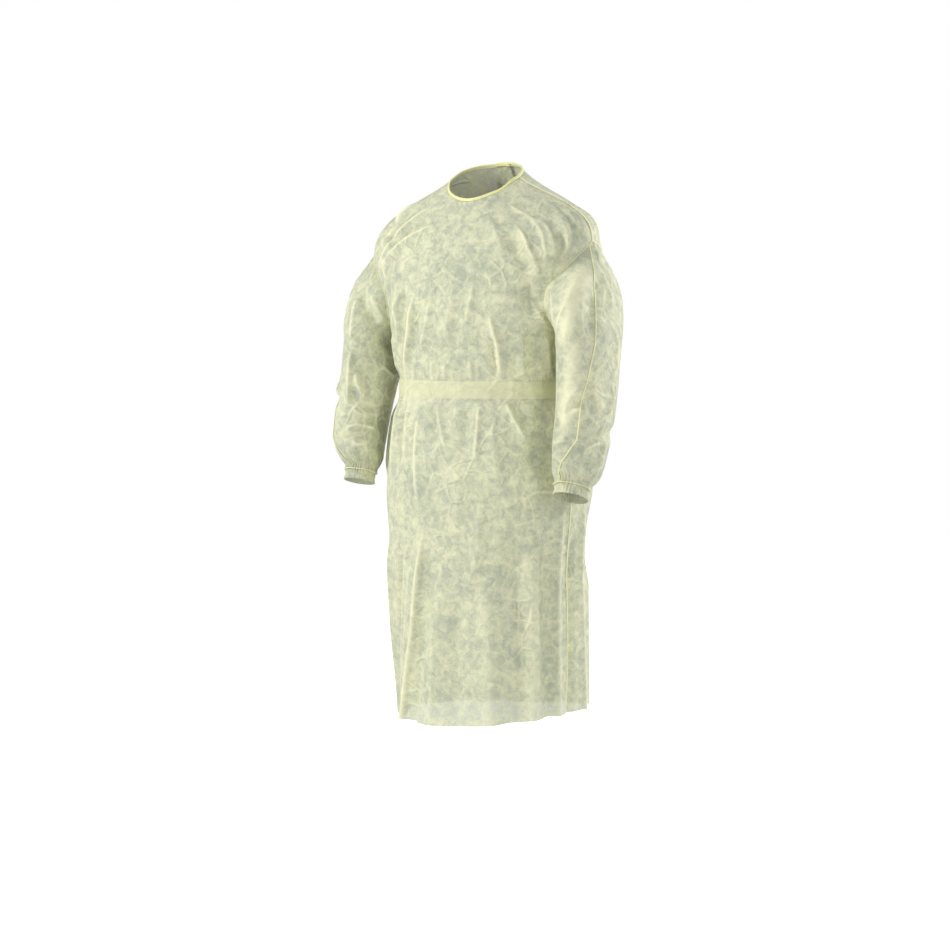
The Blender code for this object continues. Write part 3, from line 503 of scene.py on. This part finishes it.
def fibreGroup():
    # clouds of bonded fibres: thin and thick places, the fine strands, and small random creases
    tree = bpy.data.node_groups.new("bondedFibres", "ShaderNodeTree")
    for names, way in ((clothSettings["scales"], "INPUT"), (("Cloud", "Strands", "Creases"), "OUTPUT")):
        for name in names:
            tree.interface.new_socket(name=name, in_out=way, socket_type="NodeSocketFloat")
    start, end = tree.nodes.new("NodeGroupInput"), tree.nodes.new("NodeGroupOutput")
    place = addNode(tree, "TexCoord").outputs["Object"]

    def noise(scale, detail, roughness, distortion):
        values = {"Detail": detail, "Roughness": roughness, "Distortion": distortion}
        return addNode(tree, "TexNoise", values, {"Vector": place, "Scale": start.outputs[scale]}).outputs["Fac"]

    def plainNoise(output, **values):
        return addNode(tree, "TexNoise", values, {"Vector": place}).outputs[output]

    def sum2(first, second, share):
        # first plus a share of second
        return addNode(tree, "Math", {1: share}, {0: second, 2: first}, operation="MULTIPLY_ADD").outputs["Value"]

    cloud, strands = noise("Cloud Scale", 4.0, 0.60, 0.6), noise("Fibre Scale", 5.0, 0.72, 2.2)
    large = plainNoise("Fac", Scale=11.0, Detail=2.0)  # hand-sized lighter and darker places
    mottling = sum2(sum2(cloud, strands, 0.90), large, 0.45)
    contrast = addNode(tree, "MapRange", {"From Min": 0.96, "From Max": 1.45}, {"Value": mottling})
    bend = addNode(tree, "VectorMath", {1: (0.05, 0.05, 0.05)}, {0: plainNoise("Color", Scale=9.0), 2: place},
                   operation="MULTIPLY_ADD")
    cells = addNode(
        tree, "TexVoronoi", {}, {"Vector": bend.outputs["Vector"], "Scale": start.outputs["Crease Scale"]},
        feature="DISTANCE_TO_EDGE")
    ridge = addNode(tree, "MapRange", {"From Max": 0.12, "To Min": 1.0, "To Max": 0.0},
                    {"Value": cells.outputs["Distance"]}, interpolation_type="SMOOTHSTEP")
    # creases stand out in some places only
    some = addNode(tree, "MapRange", {"From Min": 0.45, "From Max": 0.65}, {"Value": plainNoise("Fac", Scale=7.0)})
    shown = addNode(tree, "Math", {}, {0: ridge.outputs["Result"], 1: some.outputs["Result"]}, operation="MULTIPLY")
    for name, output in (
            ("Cloud", contrast.outputs["Result"]), ("Strands", strands), ("Creases", shown.outputs["Value"])):
        tree.links.new(output, end.inputs[name])
    return tree


def nonwovenMaterial(name, colours, alphas, creased):
    s = clothSettings
    material = bpy.data.materials.new(name)
    material.use_nodes = True
    tree = material.node_tree
    shader = tree.nodes["Principled BSDF"]
    shader.inputs["Roughness"].default_value = s["roughness"]
    shader.inputs["Sheen Weight"].default_value = s["sheen"]
    fibres = addNode(tree, "Group", s["scales"], node_tree=fibreTree)
    # the painted highlight on fold ridges, carried over from the folds
    ridgeHighlightMask = addNode(tree, "Attribute", attribute_name="paintedRidgeHighlight").outputs["Fac"]
    # the small creases get a faint painted highlight too
    creaseHighlightMask = addNode(tree, "Math", {1: s["smallCreaseHighlight"] * creased}, {0: fibres.outputs["Creases"], 2: ridgeHighlightMask},
                    operation="MULTIPLY_ADD", use_clamp=True).outputs["Value"]
    # the fibre cloud sets the colour: thick places pale cream, thin ones dark grey-green, which is painted shade of
    # the inside seen through
    ramp = addNode(tree, "ValToRGB", {}, {"Fac": fibres.outputs["Cloud"]})
    thinShadedColour, middle, thick = ((*colour, 1.0) for colour in colours)
    ramp.color_ramp.elements[0].color = thinShadedColour
    ramp.color_ramp.elements[1].color = thick
    ramp.color_ramp.elements.new(0.5).color = middle
    # the painted highlight colour is mixed in along fold ridges and small creases
    tint = addNode(tree, "Mix", {7: s["line"]}, {0: creaseHighlightMask, 6: ramp.outputs["Color"]}, data_type="RGBA")
    tree.links.new(tint.outputs[2], shader.inputs["Base Color"])
    if alphas[0] < 1:
        thickness = addNode(tree, "Math", {1: s["linesOpaque"]}, {0: creaseHighlightMask, 2: fibres.outputs["Cloud"]},
                            operation="MULTIPLY_ADD", use_clamp=True).outputs["Value"]
        alpha = addNode(tree, "MapRange", {"To Min": alphas[0], "To Max": alphas[1]}, {"Value": thickness})
        tree.links.new(alpha.outputs["Result"], shader.inputs["Alpha"])
    normal = {}
    for (strength, distance), share, output in (
            (s["fibreBump"], 1.0, "Strands"), (s["creaseBump"], creased, "Creases")):
        bump = addNode(tree, "Bump", {"Strength": strength * share, "Distance": distance},
                       {"Height": fibres.outputs[output], **normal})
        normal = {"Normal": bump.outputs["Normal"]}
    tree.links.new(normal["Normal"], shader.inputs["Normal"])
    return material


fibreTree = fibreGroup()
clothMaterial, beltMaterial, seamMaterial, bindingMaterial = (
    nonwovenMaterial(name, *look) for name, look in clothLooks.items())
print("stage: materials")


def gridPiece(name, points, material, around=False, lines=None):
    # one sheet whose corners lie at points[row][column]; rows run down and columns to the left; lines gives the
    # painted ridge highlight at each corner
    rows, columns = points.shape[0] - 1, points.shape[1] - 1
    cloth = bmesh.new()
    bmesh.ops.create_grid(cloth, x_segments=columns, y_segments=rows, size=0.5)
    highlightShare = cloth.verts.layers.float.new("paintedRidgeHighlight")
    for corner in cloth.verts:
        column = round((corner.co.x + 0.5) * columns)
        row = round((0.5 - corner.co.y) * rows)
        corner.co = points[row, column]
        corner[highlightShare] = 0.0 if lines is None else lines[row, column]
    if around:
        bmesh.ops.remove_doubles(cloth, verts=cloth.verts, dist=0.00002)
    for face in cloth.faces:
        face.smooth = True
    mesh = bpy.data.meshes.new(name)
    cloth.to_mesh(mesh)
    cloth.free()
    mesh.materials.append(material)
    piece = bpy.data.objects.new(name, mesh)
    bpy.context.collection.objects.link(piece)
    return piece


def dress(piece, nodes):
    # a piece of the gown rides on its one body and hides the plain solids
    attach(piece, "root")
    if nodes:
        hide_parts(*nodes)


panelSettings = {
    "frontColumns": 228,
    "backColumns": 116,
    "lapColumns": 7,
    "yokeRows": 56,
    "armholeRows": 62,
    "skirtRows": 256,
}
panel = panelSettings
levels = np.concatenate([
    np.linspace(0, 1, panel["yokeRows"], endpoint=False),
    np.linspace(1, 2, panel["armholeRows"], endpoint=False),
    np.linspace(2, 3, panel["skirtRows"] + 1),
])


def edgeAngle(name, level):
    s = formSettings
    armholeZ = s["shoulderPointZ"] + (s["armpitZ"] - s["shoulderPointZ"]) * (level - 1)
    lowerZ = s["armpitZ"] + (s["hemZ"] - s["armpitZ"]) * (level - 2)
    upper = np.where(level <= 1, 90.0, ringAt(name, armholeZ))
    return np.where(level < 2, upper, ringAt("frontEdge", lowerZ))


def lapLift(angle):
    s = formSettings
    return s["lapLift"] * easeStep((angle - s["lapFrom"]) / s["lapOver"])


shares = np.linspace(-1, 1, panel["frontColumns"] + 1)
frontAngles = edgeAngle("frontEdge", levels)[:, None] * shares[None, :]
frontLevels = np.repeat(levels[:, None], len(shares), axis=1)
frontPoints, frontLines = gownGrid(frontAngles, frontLevels)


def backGrid(side):
    steps = np.arange(panel["backColumns"] + panel["lapColumns"] + 1)
    edge = edgeAngle("backEdge", levels)[:, None]
    past = np.maximum(0, steps - panel["backColumns"])
    share = (steps - past) / panel["backColumns"]
    angles = edge + (180 - edge) * share[None, :] + past[None, :] * formSettings["lap"] / panel["lapColumns"]
    lift = lapLift(angles) if side > 0 else np.zeros(angles.shape)
    if side < 0:
        angles, lift = -angles[:, ::-1], lift[:, ::-1]
    backLevels = np.repeat(levels[:, None], len(steps), axis=1)
    return gownGrid(angles, backLevels, lift)


(backLeftPoints, backLeftLines), (backRightPoints, backRightLines) = backGrid(1), backGrid(-1)
print("stage: panel points")

for name, node, points, lines, flat, rests, area in (
        ("gownFront", "front", frontPoints, frontLines, (0.74, 1.26), ["gownBackLeft", "gownBackRight"], 0.70),
        ("gownBackLeft", "back_left", backLeftPoints, backLeftLines, (0.42, 1.29), ["gownFront"], 0.49),
        ("gownBackRight", "back_right", backRightPoints, backRightLines, (0.42, 1.29), ["gownFront"], 0.49)):
    piece = gridPiece(name, points, clothMaterial, lines=lines)
    dress(piece, [node])
print("stage: panels")

# height, centre, half width, half depth from front to back, and the forearm's pitch in degrees
sleeveColumns = ("z", "x", "y", "halfWidth", "halfDepth", "pitch")
sleeveRings = {
    "left": [
        (-0.415, 0.279, -0.046, 0.058, 0.098, 2),
        (-0.460, 0.281, -0.054, 0.058, 0.092, 6),
        (-0.505, 0.282, -0.063, 0.057, 0.087, 12),
        (-0.550, 0.281, -0.073, 0.055, 0.085, 17),
        (-0.590, 0.280, -0.086, 0.053, 0.080, 20),
        (-0.622, 0.280, -0.096, 0.050, 0.070, 21),
        (-0.645, 0.279, -0.107, 0.044, 0.056, 21),
        (-0.659, 0.279, -0.114, 0.036, 0.042, 21),
        (-0.666, 0.279, -0.117, 0.036, 0.042, 21),
    ],
    "right": [
        (-0.415, -0.275, -0.038, 0.056, 0.092, 2),
        (-0.460, -0.280, -0.044, 0.055, 0.086, 4),
        (-0.505, -0.286, -0.051, 0.054, 0.081, 8),
        (-0.550, -0.291, -0.058, 0.053, 0.078, 12),
        (-0.585, -0.292, -0.066, 0.053, 0.074, 15),
        (-0.612, -0.287, -0.073, 0.049, 0.064, 16),
        (-0.632, -0.281, -0.078, 0.040, 0.048, 16),
        (-0.645, -0.277, -0.081, 0.033, 0.036, 16),
        (-0.652, -0.277, -0.083, 0.033, 0.036, 16),
    ],
}
# the way the sleeve leaves the armhole at the shoulder, front, underarm and back
sleeveStarts = {
    "left": [(0.50, 0.0, -0.87), (0.80, -0.55, -0.25), (0.30, 0.0, -0.95), (0.85, 0.45, -0.28)],
    "right": [(-0.80, 0.0, -0.60), (-0.85, -0.50, -0.20), (-0.30, 0.0, -0.95), (-0.85, 0.45, -0.28)],
}
# folds of the sleeves, as the body's: turn (0 outermost, 90 front, 180 inner, 270 back) and length
# down from the shoulder at three places, then width, depth, lean and line
sleeveFolds = {
    "left": [
        (22, 20, 62, 110, 100, 245, 26, 8.5, 0, 0.8),
        (62, 180, 84, 290, 96, 430, 26, 3, 0, 0.6),
        (22, 30, 49, 105, 59, 200, 7, 4.5, 0, 1),
        (12, 60, 38, 130, 48, 215, 10, -6, 0, 0),
        (18, 21, 59, 98, 121, 218, 7, 4.5, 0, 0.9),
        (89, 105, 103, 148, 110, 189, 10, 5.5, 0, 0.5),
        (96, 95, 124, 150, 128, 215, 10, -7, 0, 0),
        (43, 296, 32, 330, 18, 356, 8, 5, 0, 0.7),
        (52, 285, 44, 325, 30, 352, 9, -5.5, 0, 0),
        (59, 309, 77, 327, 92, 347, 8, 6, 0, 0.6),
        (55, 322, 75, 343, 92, 362, 10, -6, 0, 0),
        (32, 88, 32, 108, 32, 128, 6, 3, 0, 0.5),
        (0, -4, -8, 22, -13, 55, 8, -5, 0, 0),
        (10, 14, -3, 61, -8, 114, 8, -5, 0, 0),
        (4, 50, -2, 110, -4, 160, 8, 4, 0, 0.6),
        (-8, 177, -13, 230, -13, 286, 8, 5, 0, 0.7),
        (-19, 291, -3, 339, 4, 389, 8, 5, 0, 0.6),
        (34, 418, 18, 407, 2, 396, 8, -8, 0, 0),
        (0, 415, 0, 451, 4, 490, 10, 7, 0, 0.5),
        (126, 429, 98, 420, 70, 416, 9, 6, 0, 0.5),
        (43, 441, 26, 427, 4, 425, 7, 4, 0, 0.5),
        (43, 450, 32, 471, 26, 491, 10, -7, 0, 0),
        (135, 371, 118, 384, 95, 396, 9, -6, 0, 0),
        (135, 445, 98, 460, 73, 471, 9, 5, 0, 0.4),
        (-64, 400, -26, 412, 6, 412, 11, -12, 0, 0),
        (-60, 50, -70, 150, -74, 260, 12, 8, 0, 0.6),
        (-98, 60, -100, 160, -98, 240, 13, -8, 0, 0),
        (-120, 280, -98, 310, -70, 300, 12, -8, 0, 0),
        (-110, 370, -85, 400, -60, 390, 12, 8, 0, 0.5),
        (-160, 100, -155, 160, -145, 230, 12, 6, 0, 0.4),
        (-132, 430, -110, 450, -85, 440, 10, 6, 0, 0.4),
    ],
    "right": [
        (55, 83, 88, 128, 131, 190, 11, -11, 0, 0),
        (120, 175, 140, 200, 172, 232, 12, -9, 0, 0),
        (61, 97, 79, 164, 91, 230, 12, 8, 0, 0.7),
        (90, 220, 93, 298, 98, 366, 11, 7, 0, 0.6),
        (104, 281, 118, 317, 135, 349, 8, 5.5, 0, 0.6),
        (112, 262, 130, 298, 150, 330, 10, -6, 0, 0),
        (97, 407, 125, 397, 172, 412, 9, 7, 0, 0.7),
        (184, 346, 184, 381, 184, 419, 12, -9, 0, 0),
        (4, 24, 39, 47, 61, 70, 7, 4, 0, 0.5),
        (75, 97, 109, 143, 131, 176, 8, 5, 0, 0.6),
        (109, 360, 123, 372, 150, 384, 8, 5, 0, 0.5),
        (109, 435, 128, 442, 159, 434, 9, 5, 0, 0.4),
        (177, 436, 199, 459, 224, 483, 9, -6, 0, 0),
        (146, 258, 172, 284, 199, 297, 9, 5, 0, 0.5),
        (16, 30, 30, 120, 40, 220, 14, 6, 0, 0.4),
        (20, 300, 36, 320, 60, 330, 10, 6, 0, 0.5),
        (24, 320, 44, 340, 66, 352, 10, -6, 0, 0),
        (-20, 400, 4, 420, 30, 420, 10, 6, 0, 0.4),
        (-60, 50, -68, 150, -72, 260, 12, 8, 0, 0.6),
        (-102, 60, -102, 160, -100, 240, 13, -8, 0, 0),
        (-120, 280, -98, 310, -70, 300, 12, -8, 0, 0),
        (-114, 370, -85, 395, -60, 390, 12, 8, 0, 0.5),
    ],
}
# the seam down the sleeve: length down from the shoulder, turn
sleeveSeams = {
    "left": [(0.004, 10), (0.080, 26), (0.144, 32), (0.219, 37), (0.285, 49), (0.335, 62), (0.416, 60),
             (0.446, 80), (0.487, 108)],
    "right": [(0.004, 8), (0.080, 18), (0.150, 24), (0.230, 30), (0.300, 40), (0.350, 48), (0.420, 52),
              (0.480, 60)],
}
sleeveSettings = {
    "rootRows": 72,
    "lowerRows": 92,
    "foldRadius": 0.075,
    "middleIn": 0.015,
    "middleBack": 0.02,
    "gatherDepth": 0.0030,
    "gatherLength": 0.075,
    "gathers": 34,
    "gatherUneven": 0.35,
    "seamGap": 0.0003,
    "topFade": 20,  # rows over which the folds set in, and end before the cuff
    "endFade": 15,
    "endRows": 4,
    "besideSeam": 4,  # columns
}


def armholeLoop(side):
    # the panels' edge points round an armhole, down the front and up the back
    rows = slice(panel["yokeRows"], panel["yokeRows"] + panel["armholeRows"] + 1)
    front = frontPoints[rows, -1 if side > 0 else 0]
    back = (backLeftPoints[rows, 0] if side > 0 else backRightPoints[rows, -1])[::-1]
    return np.concatenate([front, back[1:-1]])


def loopTurns(loop):
    half = panel["armholeRows"]
    lengths = np.linalg.norm(np.diff(np.concatenate([loop, loop[:1]]), axis=0), axis=1)
    reach = np.concatenate([[0], np.cumsum(lengths)])
    first, whole = reach[half], reach[-1]
    turns = np.where(reach <= first, 180 * reach / first, 180 + 180 * (reach - first) / (whole - first))
    return turns[:-1]


def sleeveRingPoint(side, rings, z, turn, swell=0.0):
    out, ahead = np.cos(np.radians(turn)), np.sin(np.radians(turn))
    read = lambda name: readTable(rings, sleeveColumns, name, z)
    pitch = np.radians(read("pitch"))
    flatX = side * (read("halfWidth") + swell) * out
    flatY = -(read("halfDepth") + swell) * ahead
    return np.stack([
        read("x") + flatX,
        read("y") + flatY * np.cos(pitch),
        z - flatY * np.sin(pitch),
    ], axis=-1)


def sleevePoints(side, sideName):
    s = sleeveSettings
    rings = sleeveRings[sideName]
    ways = np.array(sleeveStarts[sideName])
    loop = armholeLoop(side)
    turn = loopTurns(loop)
    quarter = turn / 90
    first = quarter.astype(int) % 4
    way = unit(ways[first] + (ways[(first + 1) % 4] - ways[first]) * easeStep(quarter % 1)[:, None])
    start = loop + way * s["seamGap"]
    top, below = rings[0][0], rings[1][0]
    ringTop = sleeveRingPoint(side, rings, np.full(turn.shape, top), turn)
    ringBelow = sleeveRingPoint(side, rings, np.full(turn.shape, below), turn)
    length = np.linalg.norm(ringTop - start, axis=1, keepdims=True)
    down = unit(ringBelow - ringTop)
    t = np.linspace(0, 1, s["rootRows"] + 1)[:, None, None]
    root = hermite(start[None], ringTop[None], (way * length)[None], (down * length)[None], t)
    z = np.linspace(top, rings[-1][0], s["lowerRows"] + 1)[1:, None]
    lower = sleeveRingPoint(side, rings, np.repeat(z, len(turn), axis=1), np.repeat(turn[None], len(z), axis=0))
    bare = np.concatenate([root, lower])
    rows = len(bare)
    # outward directions, from a middle line down the sleeve
    middleX = np.full(rows, rings[0][1] - side * s["middleIn"])
    middleY = np.full(rows, rings[0][2] + s["middleBack"])
    share = easeStep(np.linspace(0, 1, s["lowerRows"]) * 4)
    middleX[s["rootRows"] + 1:] += (readTable(rings, sleeveColumns, "x", z[:, 0]) - middleX[0]) * share
    middleY[s["rootRows"] + 1:] += (readTable(rings, sleeveColumns, "y", z[:, 0]) - middleY[0]) * share
    out = bare - np.stack([middleX, middleY, np.zeros(rows)], axis=-1)[:, None, :]
    out[..., 2] = 0
    out = unit(out)
    run = formSettings["shoulderPointZ"] - bare[..., 2]
    turns = np.repeat(turn[None], rows, axis=0)
    index = np.arange(rows)[:, None]
    fade = easeStep(index / s["topFade"]) * easeStep((rows - s["endRows"] - index) / s["endFade"])
    height, lines = foldHeight(sleeveFolds[sideName], turns, run, s["foldRadius"], wraps=True)
    height, lines = height * fade, lines * fade
    low = rings[-1][0]
    gather = easeStep((low + s["gatherLength"] - bare[..., 2]) / s["gatherLength"]) ** 1.5
    uneven = 1 + s["gatherUneven"] * np.sin(np.radians(turns * 5 + 40))
    phase = np.radians(turns * s["gathers"]) + 1.3 * np.sin(np.radians(turns * 3))
    height = height + s["gatherDepth"] * gather * uneven * np.sin(phase)
    return bare + out * height[..., None], turn, lines


def wrapColumns(values, side):
    # the faces look outwards when the columns run round to the wearer's left as seen from outside
    closed = np.concatenate([values, values[:, :1]], axis=1)
    return closed if side < 0 else closed[:, ::-1]


def sleeveSeamPath(points, turn, table):
    # where the seam's turn meets each row, and a place a little to one side of it
    table = np.array(table)
    rowPlaces, besides = [], []
    for row in points[:-2]:
        run = formSettings["shoulderPointZ"] - row[:, 2]
        off = turn - np.interp(run, table[:, 0], table[:, 1])
        column = int(np.nonzero((off[:-1] <= 0) & (off[1:] > 0))[0][0])
        share = -off[column] / (off[column + 1] - off[column])
        rowPlaces.append(row[column] + (row[column + 1] - row[column]) * share)
        besides.append(row[(column + sleeveSettings["besideSeam"]) % len(row)])
    return np.array(rowPlaces), np.array(besides)


cuffSettings = {"length": 0.0252, "gap": -0.0018, "rows": 14, "columns": 150, "waves": 34, "depth": 0.0013,
                "narrowing": 0.0010, "flare": 0.0035}


def cuffPoints(side, sideName):
    s = cuffSettings
    rings = sleeveRings[sideName]
    pitch = math.radians(rings[-1][5])
    along = np.array([0, -math.sin(pitch), -math.cos(pitch)])
    turn = np.linspace(0, 360, s["columns"], endpoint=False)[None]
    share = np.linspace(0, 1, s["rows"] + 1)[:, None]
    wave = np.sin(np.radians(turn * s["waves"]) + 1.3 * np.sin(np.radians(turn * 3)))
    band = 0.35 + 0.65 * np.abs(np.sin(share * math.pi * 1.6))  # drawn in along the elastic
    swell = s["depth"] * wave * band - s["narrowing"] + s["flare"] * np.maximum(0, share - 0.5)
    z = np.full(swell.shape, rings[-1][0])
    base = sleeveRingPoint(side, rings, z, np.repeat(turn, s["rows"] + 1, axis=0), swell)
    return base + along * (s["gap"] + s["length"] * share)[..., None]


sleeveGrids = {}
for sideName, side in (("left", 1), ("right", -1)):
    points, turn, lines = sleevePoints(side, sideName)
    sleeveGrids[sideName] = (points, turn)
    label = sideName.capitalize()
    sleeve = gridPiece("gownSleeve" + label, wrapColumns(points, side), clothMaterial, around=True,
                       lines=wrapColumns(lines, side))
    dress(sleeve, ["sleeve_" + sideName])
    cuff = gridPiece("gownCuff" + label, wrapColumns(cuffPoints(side, sideName), side), clothMaterial, around=True)
    dress(cuff, ["cuff_" + sideName])
print("stage: sleeves and cuffs")

# angle, width in degrees and depth of the belt's upright creases
beltCreases = [(-38, 1.2, 0.0016), (-19, 0.9, -0.0010), (-4, 1.0, 0.0009), (9, 0.8, -0.0009), (27, 1.0, 0.0018),
               (33, 1.0, -0.0015), (42, 1.1, 0.0019), (51, 1.0, -0.0014), (63, 1.2, 0.0016), (94, 1.3, -0.0014),
               (118, 1.1, 0.0016), (139, 1.3, -0.0012), (-66, 1.2, 0.0014), (-97, 1.2, -0.0013), (-128, 1.3, 0.0016)]
beltSettings = {"z": -0.462, "height": 0.040, "wall": 0.0022, "gap": 0.0008, "pinchAngle": 150, "pinchSpan": 22,
                "pinch": 0.5, "pinchLift": 0.0012, "endAngle": 2.2, "columns": 260, "deepest": -0.0004}
bindingSettings = {"height": 0.0075, "gap": 0.0009, "upright": 0.8, "wall": 0.003, "wallOfPanel": 0.0018,
                   "endAngle": 192, "columns": 300, "below": 0.06}


def bandGrid(path, ups, normals, height, thickness, around=14):
    # a flat band with rounded edges along a path; the loop round it closes on itself
    turn = np.linspace(0, 2 * math.pi, around, endpoint=False)
    square = 0.55  # 1 is an ellipse, and less is nearer to a rectangle
    across, through = (np.sign(v) * np.abs(v) ** square for v in (np.cos(turn), np.sin(turn)))
    heights = np.broadcast_to(height, len(path))
    offset = ups[None] * (across[:, None] * heights[None, :] / 2)[..., None]
    grid = path[None] + offset + normals[None] * (through * thickness / 2)[:, None, None]
    return np.concatenate([grid, grid[:1]], axis=0)


def bandPiece(name, path, ups, normals, height, thickness, material, around=14):
    grid = bandGrid(path, ups, normals, height, thickness, around)
    piece = gridPiece(name, grid, material, around=True)
    ends = bmesh.new()
    ends.from_mesh(piece.data)
    bmesh.ops.holes_fill(ends, edges=[edge for edge in ends.edges if edge.is_boundary])
    bmesh.ops.recalc_face_normals(ends, faces=ends.faces)
    ends.to_mesh(piece.data)
    ends.free()
    return piece


def beltPath():
    s = beltSettings
    level = levelAt(s["z"])
    edge = float(edgeAngle("frontEdge", np.array([level]))[0])
    last = 180 - s["endAngle"]
    angles = np.linspace(-last, last, s["columns"] + 1)
    pinched = easeStep((np.abs(angles) - s["pinchAngle"]) / s["pinchSpan"])
    crimp = sum(depth * np.exp(-(((angles - at) / width) ** 2)) for at, width, depth in beltCreases)
    lift = lapLift(np.abs(angles)) + s["gap"] + s["pinchLift"] * pinched + s["wall"] / 2
    lift = lift + np.maximum(crimp, s["deepest"])
    half = s["height"] / 2
    path, above, below = (
        gownPoint(angles, np.full(angles.shape, levelAt(z)), lift) for z in (s["z"], s["z"] + half, s["z"] - half))
    ups = unit(above - below)
    along = np.gradient(path, axis=0)
    normals = unit(np.cross(along, ups))
    height = s["height"] * (1 - (1 - s["pinch"]) * pinched)
    return path, ups, normals, height


path, ups, normals, height = beltPath()
gownBelt = bandPiece("gownBelt", path, ups, normals, height, beltSettings["wall"], beltMaterial, 18)
dress(gownBelt, ["belt"])


def bindingPath():
    s = bindingSettings
    turns = np.linspace(-s["endAngle"], s["endAngle"], s["columns"])
    zero = np.zeros(turns.shape)
    lift = np.where(turns > 90, lapLift(turns), 0.0) - s["wallOfPanel"] / 2
    edge = gownPoint(turns, zero, lift)
    below = gownPoint(turns, zero + s["below"], lift)
    ups = unit(unit(edge - below) + np.array([0, 0, s["upright"]]))
    path = edge + ups * (s["gap"] + s["height"] / 2)
    normals = unit(np.cross(np.gradient(path, axis=0), ups))
    return path, ups, normals


path, ups, normals = bindingPath()
neckBinding = bandPiece(
    "gownNeckBinding", path, ups, normals, bindingSettings["height"], bindingSettings["wall"], bindingMaterial, 12)
dress(neckBinding, ["neck_binding"])
print("stage: belt and binding")

# inward counts the columns or rows to a place beside the seam
seamSettings = {"width": 0.0042, "thickness": 0.0012, "lift": 0.0010, "inward": 5}


def seamAlong(name, path, inward, share=1.0, middle=None):
    # a low ridge along a path, as a share of a seam's full width; inward lies on one side of it
    s = seamSettings
    along = np.gradient(path, axis=0)
    ups = unit(inward - path)
    normals = unit(np.cross(along, ups))
    if middle is None:
        middle = np.array([0, 0.0, path[:, 2].mean()])
    flip = np.sign(((path - middle) * normals).sum(axis=1))
    normals = normals * flip[:, None]
    piece = bandPiece(name, path + normals * s["lift"], ups, normals, s["width"] * share, s["thickness"],
                      seamMaterial, 8)
    dress(piece, [])


yokeRows = slice(0, panel["yokeRows"] + 1)
armholeRows = slice(panel["yokeRows"], panel["yokeRows"] + panel["armholeRows"] + 1)
skirtRows = slice(panel["yokeRows"] + panel["armholeRows"], len(levels))
for sideName, edge, backPoints, backEdge in (("Left", -1, backLeftPoints, 0), ("Right", 0, backRightPoints, -1)):
    first, last = seamSettings["inward"], -1 - seamSettings["inward"]
    inner, backInner = (first if column == 0 else last for column in (edge, backEdge))
    seamAlong("shoulderSeam" + sideName, frontPoints[yokeRows, edge], frontPoints[yokeRows, inner])
    loop, loopInner = (
        np.concatenate([frontPoints[armholeRows, column], backPoints[armholeRows, backColumn][::-1]])
        for column, backColumn in ((edge, backEdge), (inner, backInner)))
    seamAlong("armholeSeam" + sideName, loop, loopInner)
    seamAlong("sideSeam" + sideName, frontPoints[skirtRows, edge], frontPoints[skirtRows, inner], 0.7)
    points, turn = sleeveGrids[sideName.lower()]
    seamPath, beside = sleeveSeamPath(points, turn, sleeveSeams[sideName.lower()])
    seamAlong("sleeveSeam" + sideName, seamPath, beside, 0.8, points[:-2].mean(axis=1))
    ring, above = (np.concatenate([points[row], points[row][:1]]) for row in (-1, -5))
    seamAlong("cuffSeam" + sideName, ring, above, 0.6, ring.mean(axis=0))
print("stage: seams")

tieSettings = {
    # name: top and bottom level, angle from the middle of the back at each, width, thickness
    "belt": (levelAt(-0.482), levelAt(-0.745), 8.5, 15, 0.034, 0.0022),
    "neck": (0.03, 0.56, 5, 13, 0.009, 0.0018),
    "standOff": 0.0022,
}


def tieEnd(name, node, way, kind, material):
    top, bottom, topAngle, bottomAngle, width, thickness = tieSettings[kind]
    share = np.linspace(0, 1, 60)
    level = top + (bottom - top) * share
    angle = 180 + way * (topAngle + (bottomAngle - topAngle) * share)
    lift = np.full(share.shape, formSettings["lapLift"] + tieSettings["standOff"])
    path = gownPoint(angle, level, lift)
    along = unit(np.gradient(path, axis=0))
    normals = bodyNormal(angle, level)
    ups = unit(np.cross(along, normals))
    piece = bandPiece(name, path, ups, normals, width, thickness, material, 14)
    dress(piece, [node])
    return piece


knotSettings = {"segments": 96, "rings": 64, "slant": (0.75, 0.66), "windings": 4.2, "twist": 0.7, "round": 0.6,
                "pleats": 16, "core": 0.82, "turnDepth": 0.16, "pleatDepth": 0.015}


def knotPiece(name, node, material):
    # cloth wound twice round itself: rounded turns with deep grooves between them
    s = knotSettings
    across, upward = s["slant"]
    low, high = (np.array(corner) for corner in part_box(node))
    knot = bmesh.new()
    bmesh.ops.create_uvsphere(knot, u_segments=s["segments"], v_segments=s["rings"], radius=0.5)
    for corner in knot.verts:
        d = corner.co.normalized()
        slant = d.x * across + d.z * upward
        turns = abs(math.sin(s["windings"] * slant + s["twist"] * d.x * d.z)) ** s["round"]
        pleats = math.sin(s["pleats"] * (d.z * across - d.x * upward) + 3 * slant)
        square = (abs(d.x) ** 3 + abs(d.y) ** 3 + abs(d.z) ** 3) ** (-1 / 3)
        corner.co = d * 0.5 * square * (s["core"] + s["turnDepth"] * turns + s["pleatDepth"] * pleats)
    bmesh.ops.scale(knot, vec=Vector(high - low), verts=knot.verts)
    bmesh.ops.translate(knot, vec=Vector((low + high) / 2), verts=knot.verts)
    for face in knot.faces:
        face.smooth = True
    mesh = bpy.data.meshes.new(name)
    knot.to_mesh(mesh)
    knot.free()
    mesh.materials.append(material)
    piece = bpy.data.objects.new(name, mesh)
    bpy.context.collection.objects.link(piece)
    dress(piece, [node])


knotPiece("gownBeltKnot", "belt_knot", beltMaterial)
knotPiece("gownNeckKnot", "neck_knot", bindingMaterial)
for sideName, way in (("Left", -1), ("Right", 1)):
    for kind, material, slot, flat, knot in (
            ("belt", beltMaterial, "belt cloth", (0.034, 0.27), "gownBeltKnot"),
            ("neck", bindingMaterial, "binding", (0.010, 0.11), "gownNeckKnot")):
        tail = tieEnd(kind + "Tail" + sideName, kind + "_tail_" + sideName.lower(), way, kind, material)
print("stage: knots and ties")
